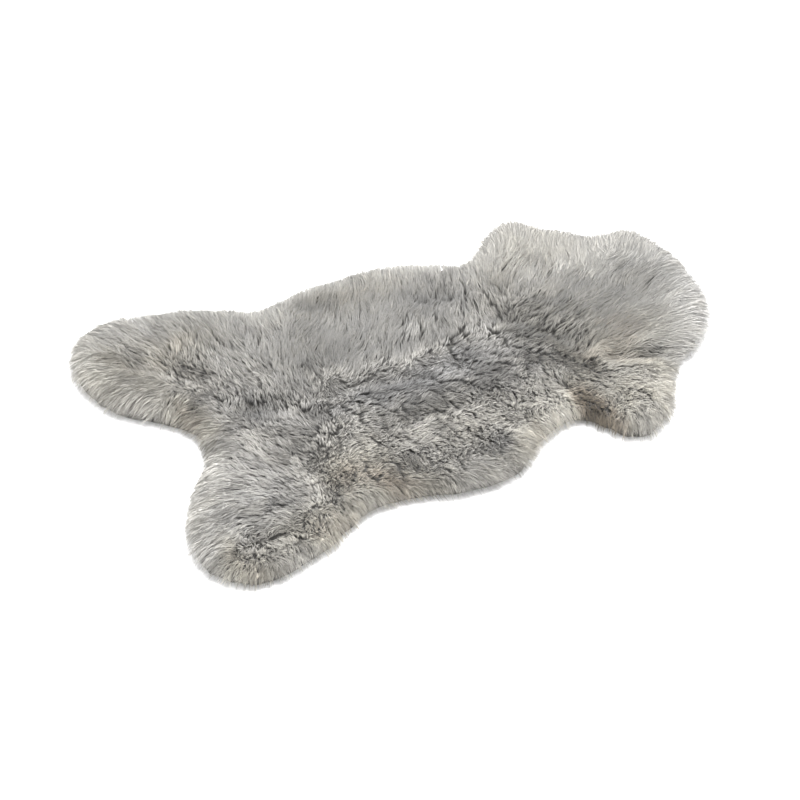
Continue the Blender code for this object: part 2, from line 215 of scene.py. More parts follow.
PATCHES = [
    Patch("left hind leg", -440, 170, 110, 80, -30, 0.40, 0.92),
    Patch("left hind toe", -500, 205, 36, 60, 0, 0.00, 1.22),
    Patch("left hind leg, parting", -428, 190, 50, 14, -37, 0.10, 0.62),
    Patch("left hind leg, inner shade", -462, 152, 34, 24, 0, 0.00, 0.84),
    Patch("left hind leg, inner rim", -390, 50, 45, 20, -60, 0.40, 0.94),
    Patch("left rump crest", -377, 84, 24, 22, 0, 0.00, 1.66),
    Patch("left rump shade", -376, 42, 22, 16, 0, 0.00, 0.74),
    Patch("left hind leg, inner crest", -395, 168, 56, 44, 0, 0.00, 1.06),
    Patch("left thigh, rim", -330, 210, 60, 35, 0, 0.60, 0.90),
    Patch("left thigh whorl", -348, 142, 44, 24, -66, 0.10, 0.78),
    Patch("left haunch", -280, 204, 90, 50, -20, 0.00, 0.84),
    Patch("left haunch, inner crest", -262, 86, 30, 34, 0, 0.00, 1.36),
    Patch("left side", -80, 95, 190, 90, 0, 0.00, 0.65),
    Patch("left side, front shade", 60, 146, 70, 50, 0, 0.00, 0.80),
    Patch("left side shade", -140, 162, 24, 20, 0, 0.00, 0.85),
    Patch("left side, rim", -30, 196, 100, 34, 0, 0.60, 0.74),
    Patch("left side, front rim", 90, 215, 60, 30, 0, -0.10, 1.30),
    Patch("left flank dimple", -85, 198, 42, 24, -28, 0.00, 0.54),
    Patch("left loin, rim", -180, 205, 28, 22, 0, 0.10, 1.27),
    Patch("left loin, inner", -160, 96, 60, 62, -10, 0.20, 0.74),
    Patch("left loin, inner crest", -146, 34, 28, 24, 0, 0.00, 1.66),
    Patch("left loin, inner shade", -198, 42, 32, 20, 0, 0.00, 0.80),
    Patch("loin crest, left", -140, -8, 30, 30, 0, 0.00, 1.56),
    Patch("left ribs front", 88, 118, 50, 42, 0, 0.00, 0.66),
    Patch("left ribs, front crest", 166, 72, 44, 20, 0, 0.00, 1.26),
    Patch("left armpit", 208, 125, 44, 38, 0, 0.40, 0.74),
    Patch("left shoulder crest", 262, 118, 20, 18, 0, 0.00, 1.16),
    Patch("tail notch, left rim", -398, 10, 50, 36, 90, 0.50, 0.92),
    Patch("tail notch shade", -378, -38, 24, 20, 0, 0.00, 0.58),
    Patch("tail crest", -324, -44, 50, 26, 0, 0.00, 1.42),
    Patch("rump whorl", -280, 6, 44, 32, -70, -0.20, 0.48),
    Patch("rump crest", -220, -6, 30, 24, 0, 0.00, 1.62),
    Patch("tail crest, left", -336, 20, 34, 26, 0, 0.00, 1.14),
    Patch("rump shade, left", -300, 84, 22, 20, 0, 0.00, 0.88),
    Patch("rump shade", -300, 0, 22, 20, 0, 0.00, 0.88),
    Patch("loin parting", -202, -38, 36, 26, -73, 0.00, 0.40),
    Patch("loin crest, right", -258, -40, 22, 18, 0, 0.00, 1.04),
    Patch("spine band, back", -104, -38, 50, 22, -40, -0.10, 0.76),
    Patch("spine band", 10, -80, 130, 40, 0, 0.00, 0.78),
    Patch("spine band, notch", -4, -62, 26, 26, 0, 0.00, 0.86),
    Patch("spine band, tint", 0, -40, 140, 34, 0, -0.50, 0.96),
    Patch("spine band, core", -40, -104, 76, 20, -8, 0.10, 0.78),
    Patch("loin crest", -152, -84, 44, 24, 0, 0.00, 1.76),
    Patch("ribs crest", -62, -80, 18, 18, 0, 0.00, 1.22),
    Patch("ribs crest, front", 48, -122, 50, 18, 0, 0.00, 1.26),
    Patch("spine band, front", 104, -90, 58, 28, -80, -0.10, 0.60),
    Patch("spine band, front shade", 142, -100, 44, 30, 0, 0.00, 0.80),
    Patch("spine band, crest", 54, -40, 36, 16, 0, 0.00, 1.55),
    Patch("left ribs parting, back", -34, -36, 72, 18, 0, 0.00, 0.56),
    Patch("left ribs, inner crest", 12, -4, 52, 17, -6, 0.00, 1.92),
    Patch("left ribs, inner shade", -20, 54, 80, 22, 0, 0.00, 0.78),
    Patch("left ribs crest", 20, 80, 30, 24, 0, 0.00, 1.16),
    Patch("left ribs parting, front", 67, 34, 24, 18, 0, 0.00, 0.66),
    Patch("left ribs parting, inner", 78, -12, 32, 18, -38, -0.20, 0.80),
    Patch("shoulder crest", 136, 6, 36, 22, -65, -0.20, 1.46),
    Patch("shoulder whorl shade", 182, 44, 20, 20, 0, 0.00, 0.74),
    Patch("shoulders", 270, 25, 150, 80, 0, 0.20, 0.67),
    Patch("shoulder parting, left", 189, 14, 42, 22, -74, 0.00, 0.80),
    Patch("shoulder parting", 222, -40, 46, 26, -55, 0.10, 0.52),
    Patch("shoulder parting, right", 248, -114, 60, 30, -76, 0.50, 0.54),
    Patch("shoulder parting, rim", 214, -172, 28, 20, -81, 0.70, 0.84),
    Patch("right shoulder crest", 222, -160, 18, 16, 0, 0.00, 1.20),
    Patch("left foreleg", 300, 180, 75, 66, 0, 0.30, 1.16),
    Patch("left foreleg, parting", 290, 152, 24, 14, -56, 0.20, 0.68),
    Patch("neck", 310, -20, 110, 70, 0, 0.10, 0.80),
    Patch("neck, left shadow", 418, 36, 90, 34, -30, 0.00, 0.70),
    Patch("neck, crest", 372, 71, 50, 18, -46, 0.00, 1.46),
    Patch("neck, back crest", 340, 40, 40, 16, -46, 0.00, 0.92),
    Patch("neck, back shade", 300, 2, 26, 24, 0, 0.00, 0.96),
    Patch("neck, left parting", 395, -20, 36, 14, -52, 0.00, 0.76),
    Patch("neck, right parting", 352, -45, 40, 20, -37, 0.30, 0.66),
    Patch("neck, left rim", 400, 130, 70, 30, 0, 0.00, 1.30),
    Patch("neck, right back", 350, -85, 60, 45, 0, 0.70, 0.84),
    Patch("neck, right shade", 290, -82, 60, 26, 0, 0.00, 0.78),
    Patch("neck end", 500, -30, 120, 40, 90, -0.20, 1.30),
    Patch("neck end crest", 505, 0, 20, 40, 0, 0.00, 1.12),
    Patch("neck, right corner", 452, -132, 60, 45, 0, -0.10, 1.20),
    Patch("collar fold", 352, -157, 54, 18, -37, 0.50, 0.70),
    Patch("collar", 302, -118, 50, 24, -37, 0.30, 1.66),
    Patch("right armpit", 218, -212, 36, 20, -76, 1.80, 0.22),
    Patch("right foreleg, back rim", 228, -268, 42, 18, -61, 1.00, 0.56),
    Patch("right foreleg", 305, -220, 75, 62, 0, 0.40, 1.62),
    Patch("right foreleg, back", 268, -200, 26, 22, 0, 0.00, 1.60),
    Patch("right foreleg, front", 325, -225, 44, 34, 0, 0.00, 1.20),
    Patch("right foreleg, toe crest", 258, -244, 22, 18, 0, 0.00, 1.40),
    Patch("right flank", 158, -172, 75, 48, -64, 0.10, 2.60),
    Patch("right flank crest", 120, -160, 40, 20, 0, 0.00, 1.18),
    Patch("right flank parting", 112, -211, 26, 14, -76, 0.10, 0.66),
    Patch("right flank, rim", 90, -245, 80, 26, 25, 0.50, 1.18),
    Patch("right ribs, rim", 0, -262, 50, 22, 0, 0.00, 0.84),
    Patch("right ribs", 20, -180, 100, 55, 0, 0.20, 1.42),
    Patch("right ribs parting", -22, -158, 30, 16, -75, 0.00, 0.70),
    Patch("right ribs parting, back", -98, -124, 24, 18, 0, 0.00, 0.82),
    Patch("right ribs crest", -60, -156, 20, 16, 0, 0.00, 1.24),
    Patch("right ribs hollow", 44, -232, 42, 24, -77, -0.30, 0.62),
    Patch("right ribs, lower crest", 38, -202, 40, 20, 0, 0.00, 1.92),
    Patch("right ribs, lower crest, back", -62, -224, 24, 28, 0, 0.00, 1.66),
    Patch("right ribs, back crest", -146, -146, 46, 40, 0, 0.20, 1.50),
    Patch("right ribs, back parting", -148, -222, 40, 30, -60, 0.90, 0.78),
    Patch("right ribs, rim parting", -96, -254, 44, 26, -40, 0.50, 0.58),
    Patch("right waist", -212, -190, 44, 50, 0, 0.76, 1.28),
    Patch("right waist crest", -236, -160, 34, 20, 0, 0.00, 1.28),
    Patch("right haunch parting", -268, -106, 42, 28, 10, 0.10, 0.64),
    Patch("right haunch, outer shade", -320, -200, 36, 18, 0, 0.00, 0.68),
    Patch("right rump", -368, -116, 80, 52, -39, -0.10, 1.54),
    Patch("right rump crest", -384, -118, 24, 20, 0, 0.00, 1.30),
    Patch("right hind leg", -400, -230, 100, 80, 0, -0.15, 1.28),
    Patch("right hind leg, inner parting", -414, -199, 48, 15, -4, 0.00, 0.58),
    Patch("right hind leg, inner rim", -462, -158, 34, 20, 0, 0.00, 1.26),
    Patch("right hind leg, crest", -376, -160, 34, 20, -20, 0.00, 1.12),
    Patch("right hind leg, outer crest", -400, -240, 44, 20, -10, 0.00, 1.30),
    Patch("right hind leg crease", -343, -248, 46, 16, -9, 0.10, 0.88),
    Patch("right hind leg, crease crest", -350, -272, 38, 10, -6, 0.00, 0.76),
    Patch("right thigh crease", -294, -294, 26, 16, -72, 0.20, 0.80),
    Patch("right thigh", -290, -246, 36, 30, 0, 0.10, 1.94),
    Patch("right thigh front", -240, -258, 30, 24, 0, 0.00, 0.96),
    Patch("right hind leg, rim crest", -354, -298, 70, 30, -6, 0.00, 1.34),
    Patch("right hind foot", -385, -262, 34, 22, -20, 0.00, 0.98),
    Patch("right hind toe", -418, -308, 52, 28, -34, 0.60, 0.90),
    Patch("right hind toe, inner", -446, -258, 26, 18, -82, 0.50, 0.90),
    Patch("right hind leg, rim", -270, -275, 120, 36, -5, 0.60, 1.02),
]


# ---------------------------------------------------------------------------------------------
# Fields over the floor plan
# ---------------------------------------------------------------------------------------------


def smooth_step(low: float, high: float, value: np.ndarray) -> np.ndarray:
    """Ease from 0 at low to 1 at high.

    Args:
        low: The value at which the result is 0.
        high: The value at which the result is 1.
        value: The numbers to ease.

    Returns:
        An array of the same shape, from 0 to 1.
    """
    share = np.clip((value - low) / (high - low), 0.0, 1.0)
    return share * share * (3.0 - 2.0 * share)


def soften(grid: np.ndarray, passes: int) -> np.ndarray:
    """Blur a grid with a small kernel.

    Args:
        grid: A two-dimensional array.
        passes: How many times the kernel is run over it.

    Returns:
        The blurred grid.
    """
    for _ in range(passes):
        wide = np.pad(grid, 1, mode="edge")
        grid = (wide[:-2] + 2.0 * wide[1:-1] + wide[2:]) / 4.0
        grid = (grid[:, :-2] + 2.0 * grid[:, 1:-1] + grid[:, 2:]) / 4.0
    return grid


def unit(vectors: np.ndarray) -> np.ndarray:
    """Return the vectors, given as rows, at unit length."""
    return vectors / np.maximum(np.linalg.norm(vectors, axis=-1, keepdims=True), 1e-9)


@dataclass
class PlanGrid:
    """A regular grid over the floor that values are read from between its points."""

    low: np.ndarray
    shape: tuple[int, int]
    pitch: float

    def points(self) -> np.ndarray:
        """List the grid's points, column by column.

        Returns:
            Rows of x and y, one for each point.
        """
        steps = (np.arange(count) for count in self.shape)
        columns, rows = np.meshgrid(*steps, indexing="ij")
        return self.low + self.pitch * np.stack([columns.ravel(), rows.ravel()], axis=1)

    def read(self, values: np.ndarray, places: np.ndarray) -> np.ndarray:
        """Read a grid of values at any places.

        Args:
            values: One value, or one row of them, for each grid point.
            places: The places as rows of x and y.

        Returns:
            The values there, blended between the four nearest points.
        """
        spot = (places - self.low) / self.pitch
        limit = np.array(self.shape) - 1.001
        spot = np.clip(spot, 0.0, limit)
        base = spot.astype(int)
        share = spot - base
        if values.ndim == 3:
            share = share[:, :, None]
        i, j = base[:, 0], base[:, 1]
        fx, fy = share[:, 0], share[:, 1]
        near = values[i, j] * (1 - fy) + values[i, j + 1] * fy
        far = values[i + 1, j] * (1 - fy) + values[i + 1, j + 1] * fy
        return near * (1 - fx) + far * fx


class Wave(Enum):
    """The random fields over the floor: the distance over which each changes, and its seed."""

    WORN_HIDE = (70 * MM, 4)
    BROAD_TURN = (55 * MM, 5)
    SMALL_TURN = (20 * MM, 6)
    TIP_LIFT = (42 * MM, 7)
    BROAD_CURL = (11 * MM, 8)
    SMALL_CURL = (6.5 * MM, 9)
    LOCK_OPENING = (13 * MM, 10)


class Ripple:
    """A smooth random field over the floor plan, with values of about unit spread."""

    SPAN = (1.4, 1.0)  # the stretch of floor that it covers, in metres

    def __init__(self, wave: Wave) -> None:
        """Draw the field.

        Args:
            wave: Which of the fields it is.
        """
        size, seed = wave.value
        span = np.array(self.SPAN)
        shape = tuple(int(side / size * 2) + 4 for side in span)
        values = soften(np.random.default_rng(seed).normal(size=shape), passes=1)
        self._values = values / values.std()
        self._grid = PlanGrid(-span / 2, shape, size / 2)

    def at(self, places: np.ndarray) -> np.ndarray:
        """Return the field at rows of x and y."""
        return self._grid.read(self._values, places)


class Pelt:
    """The wool's envelope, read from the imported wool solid.

    Across the rim its section is a quarter of an ellipse. A place on it is given by its plan
    position or, near the rim, by its run: the distance along the surface from the rim's edge.
    """

    PITCH = 4 * MM
    MARGIN = 48 * MM
    SHOULDER = 44 * MM  # the section rounds over within this distance of the rim
    RIM_HEIGHT = 11 * MM
    SECTION_RADIUS = 41 * MM  # mean of the ellipse's two half-axes
    TRUSTED_INSET = 12 * MM  # nearer to the rim the solid is cut into locks
    SLOPE_FLOOR = 0.2  # below this slope of the inset, outward is shorter than a unit
    STEEPNESS_FLOOR = 0.3  # a height near the rim counts as at least this share of the crown's
    SPREAD_ROUNDS = 14  # how often the crown is spread into places without one
    PARTS = 24  # the grid is measured in this many parts, to save memory

    def __init__(self, solid: bpy.types.Object) -> None:
        """Read the envelope's height, inset and outward direction from the solid.

        Args:
            solid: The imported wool.
        """
        corners = [vertex.co for vertex in solid.data.vertices]
        tree = BVHTree.FromPolygons(corners, [tuple(face.vertices) for face in solid.data.polygons])
        flat = np.array([(point.x, point.y) for point in corners])
        low = flat.min(axis=0) - self.MARGIN
        shape = tuple(int(side / self.PITCH) + 2 for side in flat.max(axis=0) + self.MARGIN - low)
        self.grid = PlanGrid(low, shape, self.PITCH)
        top = self._cast(tree)
        self._inset = self._measure_inset(np.isfinite(top))
        calm = soften(self._inset, passes=3)
        slope = np.stack(np.gradient(calm, self.PITCH), axis=-1)
        self._outward = -slope / np.maximum(
            np.linalg.norm(slope, axis=-1, keepdims=True), self.SLOPE_FLOOR
        )
        self._crown = self._spread_crown(top)
        crown_slope = np.gradient(soften(self._crown, passes=2), self.PITCH)
        self._crown_slope = np.stack(crown_slope, axis=-1)

    def _cast(self, tree: BVHTree) -> np.ndarray:
        """Measure the solid's upper height at each grid point.

        Args:
            tree: Finds where a ray meets the solid.

        Returns:
            The heights on the grid, not finite beside the solid.
        """
        heights = []
        for x, y in self.grid.points():
            hit = tree.ray_cast(Vector((x, y, 1.0)), Vector((0.0, 0.0, -1.0)))[0]
            heights.append(np.nan if hit is None else hit.z)
        return np.array(heights).reshape(self.grid.shape)

    def _measure_inset(self, covered: np.ndarray) -> np.ndarray:
        """Measure how far each grid point lies inside the solid's mean outline.

        Args:
            covered: Which grid points lie over the solid.

        Returns:
            The distances on the grid, negative outside.
        """
        cover = soften(covered.astype(float), passes=4) - 0.5
        points = self.grid.points().reshape(*self.grid.shape, 2)
        edge = []
        for axis in (0, 1):
            first = [slice(None), slice(None)]
            second = [slice(None), slice(None)]
            first[axis], second[axis] = slice(0, -1), slice(1, None)
            a, b = cover[tuple(first)], cover[tuple(second)]
            crossed = (a > 0) != (b > 0)
            share = (a[crossed] / (a[crossed] - b[crossed]))[:, None]
            here, there = points[tuple(first)][crossed], points[tuple(second)][crossed]
            edge.append(here * (1 - share) + there * share)
        edge = np.concatenate(edge)
        parts = np.array_split(points.reshape(-1, 2), self.PARTS)
        nearest = [((part[:, None] - edge[None]) ** 2).sum(axis=2).min(axis=1) for part in parts]
        distance = np.sqrt(np.concatenate(nearest)).reshape(self.grid.shape)
        return np.where(cover > 0, distance, -distance)

    def _spread_crown(self, top: np.ndarray) -> np.ndarray:
        """Work out the height that the envelope would have without its rounded rim.

        Args:
            top: The solid's upper height on the grid.

        Returns:
            The heights on the grid, also beside the solid.
        """
        trusted = np.isfinite(top) & (self._inset > self.TRUSTED_INSET)
        steepness = np.maximum(np.sin(self.tilt_of(self._inset)), self.STEEPNESS_FLOOR)
        crown = self.RIM_HEIGHT + (np.where(trusted, top, 0.0) - self.RIM_HEIGHT) / steepness
        total, weight = np.where(trusted, crown, 0.0), trusted.astype(float)
        spread = crown
        for _ in range(self.SPREAD_ROUNDS):
            total, weight = soften(total, passes=2), soften(weight, passes=2)
            spread = np.where(trusted, crown, total / np.maximum(weight, 1e-6))
            total, weight = np.where(trusted, crown, total), np.where(trusted, 1.0, weight)
        return soften(spread, passes=1)

    def tilt_of(self, inset: np.ndarray) -> np.ndarray:
        """Return the section's angle: 0 at the upright rim, to a right angle on top."""
        return np.arccos(np.clip(1.0 - np.maximum(inset, 0.0) / self.SHOULDER, 0.0, 1.0))

    def inset(self, places: np.ndarray) -> np.ndarray:
        """Return how far places lie inside the outline."""
        return self.grid.read(self._inset, places)

    def outward(self, places: np.ndarray) -> np.ndarray:
        """Return the plan direction towards the rim at places."""
        return unit(self.grid.read(self._outward, places))

    def crown(self, places: np.ndarray) -> np.ndarray:
        """Return the height that the envelope would have at places without its rounded rim."""
        return self.grid.read(self._crown, places)

    def run_of(self, inset: np.ndarray) -> np.ndarray:
        """Return the distance along the surface from the rim to an inset."""
        beyond = np.maximum(inset - self.SHOULDER, 0.0)
        return self.SECTION_RADIUS * self.tilt_of(inset) + beyond

    def inset_of_run(self, run: np.ndarray) -> np.ndarray:
        """Turn distances along the surface into insets.

        Args:
            run: Distances along the surface from the rim.

        Returns:
            The insets there.
        """
        bend = self.SECTION_RADIUS * math.pi / 2
        round_part = self.SHOULDER * (1.0 - np.cos(np.clip(run, 0.0, bend) / self.SECTION_RADIUS))
        return round_part + np.maximum(run - bend, 0.0)

    def surface(self, places: np.ndarray, inset: np.ndarray) -> tuple[np.ndarray, np.ndarray]:
        """Return points on the envelope and its normals.

        Args:
            places: Plan positions as rows of x and y.
            inset: Their distances inside the outline.

        Returns:
            The points and the unit normals, as rows of x, y and z.
        """
        tilt = self.tilt_of(inset)
        crown = self.crown(places)
        height = self.RIM_HEIGHT + (crown - self.RIM_HEIGHT) * np.sin(tilt)
        points = np.concatenate([places, height[:, None]], axis=1)
        outward = self.outward(places)
        slope = self.grid.read(self._crown_slope, places) * np.sin(tilt)[:, None]
        flat = outward * np.cos(tilt)[:, None] - slope * np.sin(tilt)[:, None]
        normals = unit(np.concatenate([flat, np.sin(tilt)[:, None]], axis=1))
        return points, normals


# ---------------------------------------------------------------------------------------------
# The wool
# ---------------------------------------------------------------------------------------------


@dataclass
class Locks:
    """Centre lines of many strands: each has the same number of points, from root to tip."""

    lines: np.ndarray
    radii: np.ndarray
    warmth: np.ndarray
    light: np.ndarray
    centre_x: np.ndarray
    centre_y: np.ndarray

    def chosen(self, mask: np.ndarray) -> "Locks":
        """Return the strands that a mask picks."""
        return Locks(*(getattr(self, item.name)[mask] for item in fields(self)))


@dataclass(frozen=True)
class Growth:
    """One kind of wool: how densely it stands, and the size and bends of each of its strands.

    The radius is that of the root, from its middle to a corner. The levels say how far along a
    strand each of its points lies, from 0 to 1. The root shade is the lightness of its roots
    beside that of its tips, painted shade down in the pile.
    """

    pitch: float
    length: float
    root_depth: float
    root_shade: float
    radius: float
    levels: tuple[float, ...]
    rim_levels: tuple[float, ...]


LONG_WOOL = Growth(
    pitch=4.6 * MM,
    length=48 * MM,
    root_depth=22 * MM,
    root_shade=0.09,
    radius=0.82 * MM,
    levels=(0.0, 0.5, 1.0),
    rim_levels=(0.0, 0.36, 0.7, 1.0),
)
FINE_WOOL = Growth(
    pitch=1.88 * MM,
    length=29 * MM,
    root_depth=7 * MM,
    root_shade=0.18,
    radius=0.48 * MM,
    levels=(0.0, 1.0),
    rim_levels=(0.0, 1.0),
)


class Swing(IntEnum):
    """What the random numbers of a lock change, in the order of their columns."""

    TURN = 0
    LIFT = 1
    LENGTH = 2
    LIGHT = 3
    BOW = 4
    WARMTH = 5


@dataclass
class Stand:
    """A batch of strands before they have a shape.

    Sleek and silky run from 0 to 1 with the lay, and at_rim and soft_rim from 0 inside to 1 at
    the rim. Swing holds the random numbers of each strand's lock.
    """

    growth: Growth
    levels: tuple[float, ...]
    tips: np.ndarray
    swing: np.ndarray
    inset: np.ndarray
    outward: np.ndarray
    fall: np.ndarray
    sleek: np.ndarray
    silky: np.ndarray
    at_rim: np.ndarray
    soft_rim: np.ndarray
    warmth: np.ndarray
    light: np.ndarray


@dataclass(frozen=True)
class Mix:
    """A number with one value where the wool stands loose and another where it lies sleek."""

    loose: float
    sleek: float

    def at(self, share: np.ndarray) -> np.ndarray:
        """Return the number at shares from 0, loose, to 1, sleek."""
        return self.loose + (self.sleek - self.loose) * share


@dataclass(frozen=True)
class Habit:
    """How far locks and single strands stray from the way they are combed.

    Turns are in radians, lifts and bows in metres, and lengths in shares of the mean one. Each
    lay is a pair: where wool starts to be sleek, silky or soft at the rim, and where it is so.
    The root depth is a pair too: the share of it that flat wool has, and what a full rise adds.
    """

    sleek_lay: tuple[float, float] = (0.42, 0.72)
    silky_lay: tuple[float, float] = (0.58, 0.80)
    soft_rim_lay: tuple[float, float] = (0.45, 0.62)
    soft_rim_silk: float = 0.8
    lock_turn: Mix = Mix(0.30, 0.14)
    wave_turn: Mix = Mix(0.24, 0.18)
    strand_turn: Mix = Mix(0.18, 0.08)
    length: Mix = Mix(0.62, 1.0)
    lock_length: float = 0.12
    strand_length: float = 0.10
    length_limits: tuple[float, float] = (0.6, 1.4)
    settle: Mix = Mix(1.4, 3.1)
    root_depth: tuple[float, float] = (0.72, 0.45)
    rise_limits: tuple[float, float] = (0.1, 1.0)
    lock_lift: Mix = Mix(1.7 * MM, 0.4 * MM)
    strand_lift: Mix = Mix(0.8 * MM, 0.4 * MM)
    wave_lift: float = 1.5 * MM
    stray_share: float = 0.07
    stray_lift: float = 4.5 * MM
    lock_bow: Mix = Mix(3.0 * MM, 2.2 * MM)
    strand_bow: float = 0.8 * MM


@dataclass(frozen=True)
class Opening:
    """How far strands draw together: more in dark places, less at the rim and in silky wool."""

    mean: float = 0.85
    spread: float = 0.50
    wide_limits: tuple[float, float] = (0.1, 1.7)
    dark_gain: float = 1.3
    dark_limits: tuple[float, float] = (0.7, 1.5)
    limits: tuple[float, float] = (0.1, 1.75)
    edge: tuple[float, float] = (20 * MM, 4 * MM)
    edge_calm: float = 0.8
    rim_calm: float = 0.6
    silky_calm: float = 0.75

    def at(self, stand: Stand) -> np.ndarray:
        """Work out the factor on each strand's pull towards its lock.

        Args:
            stand: The strands.

        Returns:
            One factor for each of them.
        """
        wide = self.mean + self.spread * Ripple(Wave.LOCK_OPENING).at(stand.tips)
        dark = 1.0 + self.dark_gain * (1.0 - stand.light)
        wide = wide.clip(*self.wide_limits) * dark.clip(*self.dark_limits)
        calm = (1.0 - self.rim_calm * stand.soft_rim) * (1.0 - self.silky_calm * stand.silky**2)
        calm = calm * (1.0 - self.edge_calm * smooth_step(*self.edge, stand.inset))
        return calm * wide.clip(*self.limits)


@dataclass(frozen=True)
class Fringe:
    """How strands at the rim droop and how far they reach past it.

    The neck has one corner that reaches further: the wool there is longer.
    """

    droop: float = 8 * MM
    droop_inset: float = 18 * MM
    droop_spread: float = 0.45
    reach: float = 2.4 * MM
    reach_inset: float = 24 * MM
    corner: tuple[float, float] = (515 * MM, -62 * MM)
    corner_reach: float = 10 * MM
    corner_inset: float = 30 * MM
    corner_span: tuple[float, float] = (90 * MM, 20 * MM)
    floor_gap: float = 1.2 * MM
    floor_gap_spread: float = 4.0 * MM
    root_gap: float = 1.4 * MM

    def droop_of(self, inset: np.ndarray, draw: np.ndarray) -> np.ndarray:
        """Return how far tips at an inset sink, for random draws from 0 to 1."""
        return smooth_step(self.droop_inset, 0.0, inset) * draw * self.droop

    def reach_of(self, tips: np.ndarray, inset: np.ndarray, draw: np.ndarray) -> np.ndarray:
        """Return how far tips stand out past the envelope.

        Args:
            tips: Their plan positions.
            inset: Their distances inside the outline.
            draw: A random number from 0 to 1 for each.

        Returns:
            One distance for each tip.
        """
        reach = smooth_step(self.reach_inset, 0.0, inset) * self.reach * (1.0 + draw)
        gap = np.hypot(tips[:, 0] - self.corner[0], tips[:, 1] - self.corner[1])
        near = smooth_step(*self.corner_span, gap) * smooth_step(self.corner_inset, 0.0, inset)
        return reach + self.corner_reach * near

    def floor_gap_of(self, at_rim: np.ndarray, draw: np.ndarray) -> np.ndarray:
        """Return how far tips stay above the floor, for random draws from 0 to 1."""
        return self.floor_gap + self.floor_gap_spread * draw * at_rim


@dataclass(frozen=True)
class Tone:
    """How strands differ in width and colour, with painted shade towards root and floor and painted
    light towards the rim.

    The taper is their width at the root, half way and at the tip.
    """

    taper: tuple[float, float, float] = (1.0, 0.95, 0.0)
    width_spread: float = 0.2
    width_limits: tuple[float, float] = (0.5, 1.6)
    stray_width: float = 0.55
    rim_slimming: float = 0.12
    rim_slim_inset: tuple[float, float] = (22 * MM, 2 * MM)
    warmth: float = 0.22
    lock_warmth: float = 0.06
    strand_warmth: float = 0.04
    lock_light: Mix = Mix(0.18, 0.06)
    strand_light: Mix = Mix(0.19, 0.07)
    strand_limits: tuple[float, float] = (-2.5, 1.5)
    rim_calm: float = 0.7
    # Painted light: the wool is lighter within these distances of the rim.
    painted_rim_light: tuple[tuple[float, float, float], ...] = (
        (0.07, 42 * MM, 4 * MM),
        (0.04, 14 * MM, 1 * MM),
    )
    # Painted shade: roots darker than tips down in the pile and wool darker near the floor, with
    # less of it in silky wool and at the rim.
    tip_shade: float = 1.04
    calm_shade: float = 0.95
    silky_calm: float = 0.34
    rim_root_calm: float = 0.38
    floor_shade: float = 0.38
    floor_heights: tuple[float, float] = (15 * MM, 3 * MM)
    limits: tuple[float, float] = (0.02, 1.41)

    def painted_rim_gain(self, inset: np.ndarray) -> np.ndarray:
        """Return the factor of painted light by which the wool is lighter towards the rim."""
        return 1.0 + sum(gain * smooth_step(far, near, inset) for gain, far, near in self.painted_rim_light)

    def shades(self, stand: Stand, heights: np.ndarray) -> np.ndarray:
        """Return the factor of painted shade on the lightness at each point of each strand.

        Args:
            stand: The strands.
            heights: The height of each point above the floor.

        Returns:
            One row for each strand, with a number for each of its points.
        """
        root = stand.growth.root_shade
        stops = [root, 0.5 * (root + 1.0), self.tip_shade]
        shade = np.interp(stand.levels, [0.0, 0.5, 1.0], stops)[None]
        calm = self.silky_calm * stand.silky + self.rim_root_calm * stand.at_rim
        shade = shade + (self.calm_shade - shade) * calm[:, None]
        return shade * (1.0 - self.floor_shade * smooth_step(*self.floor_heights, heights))


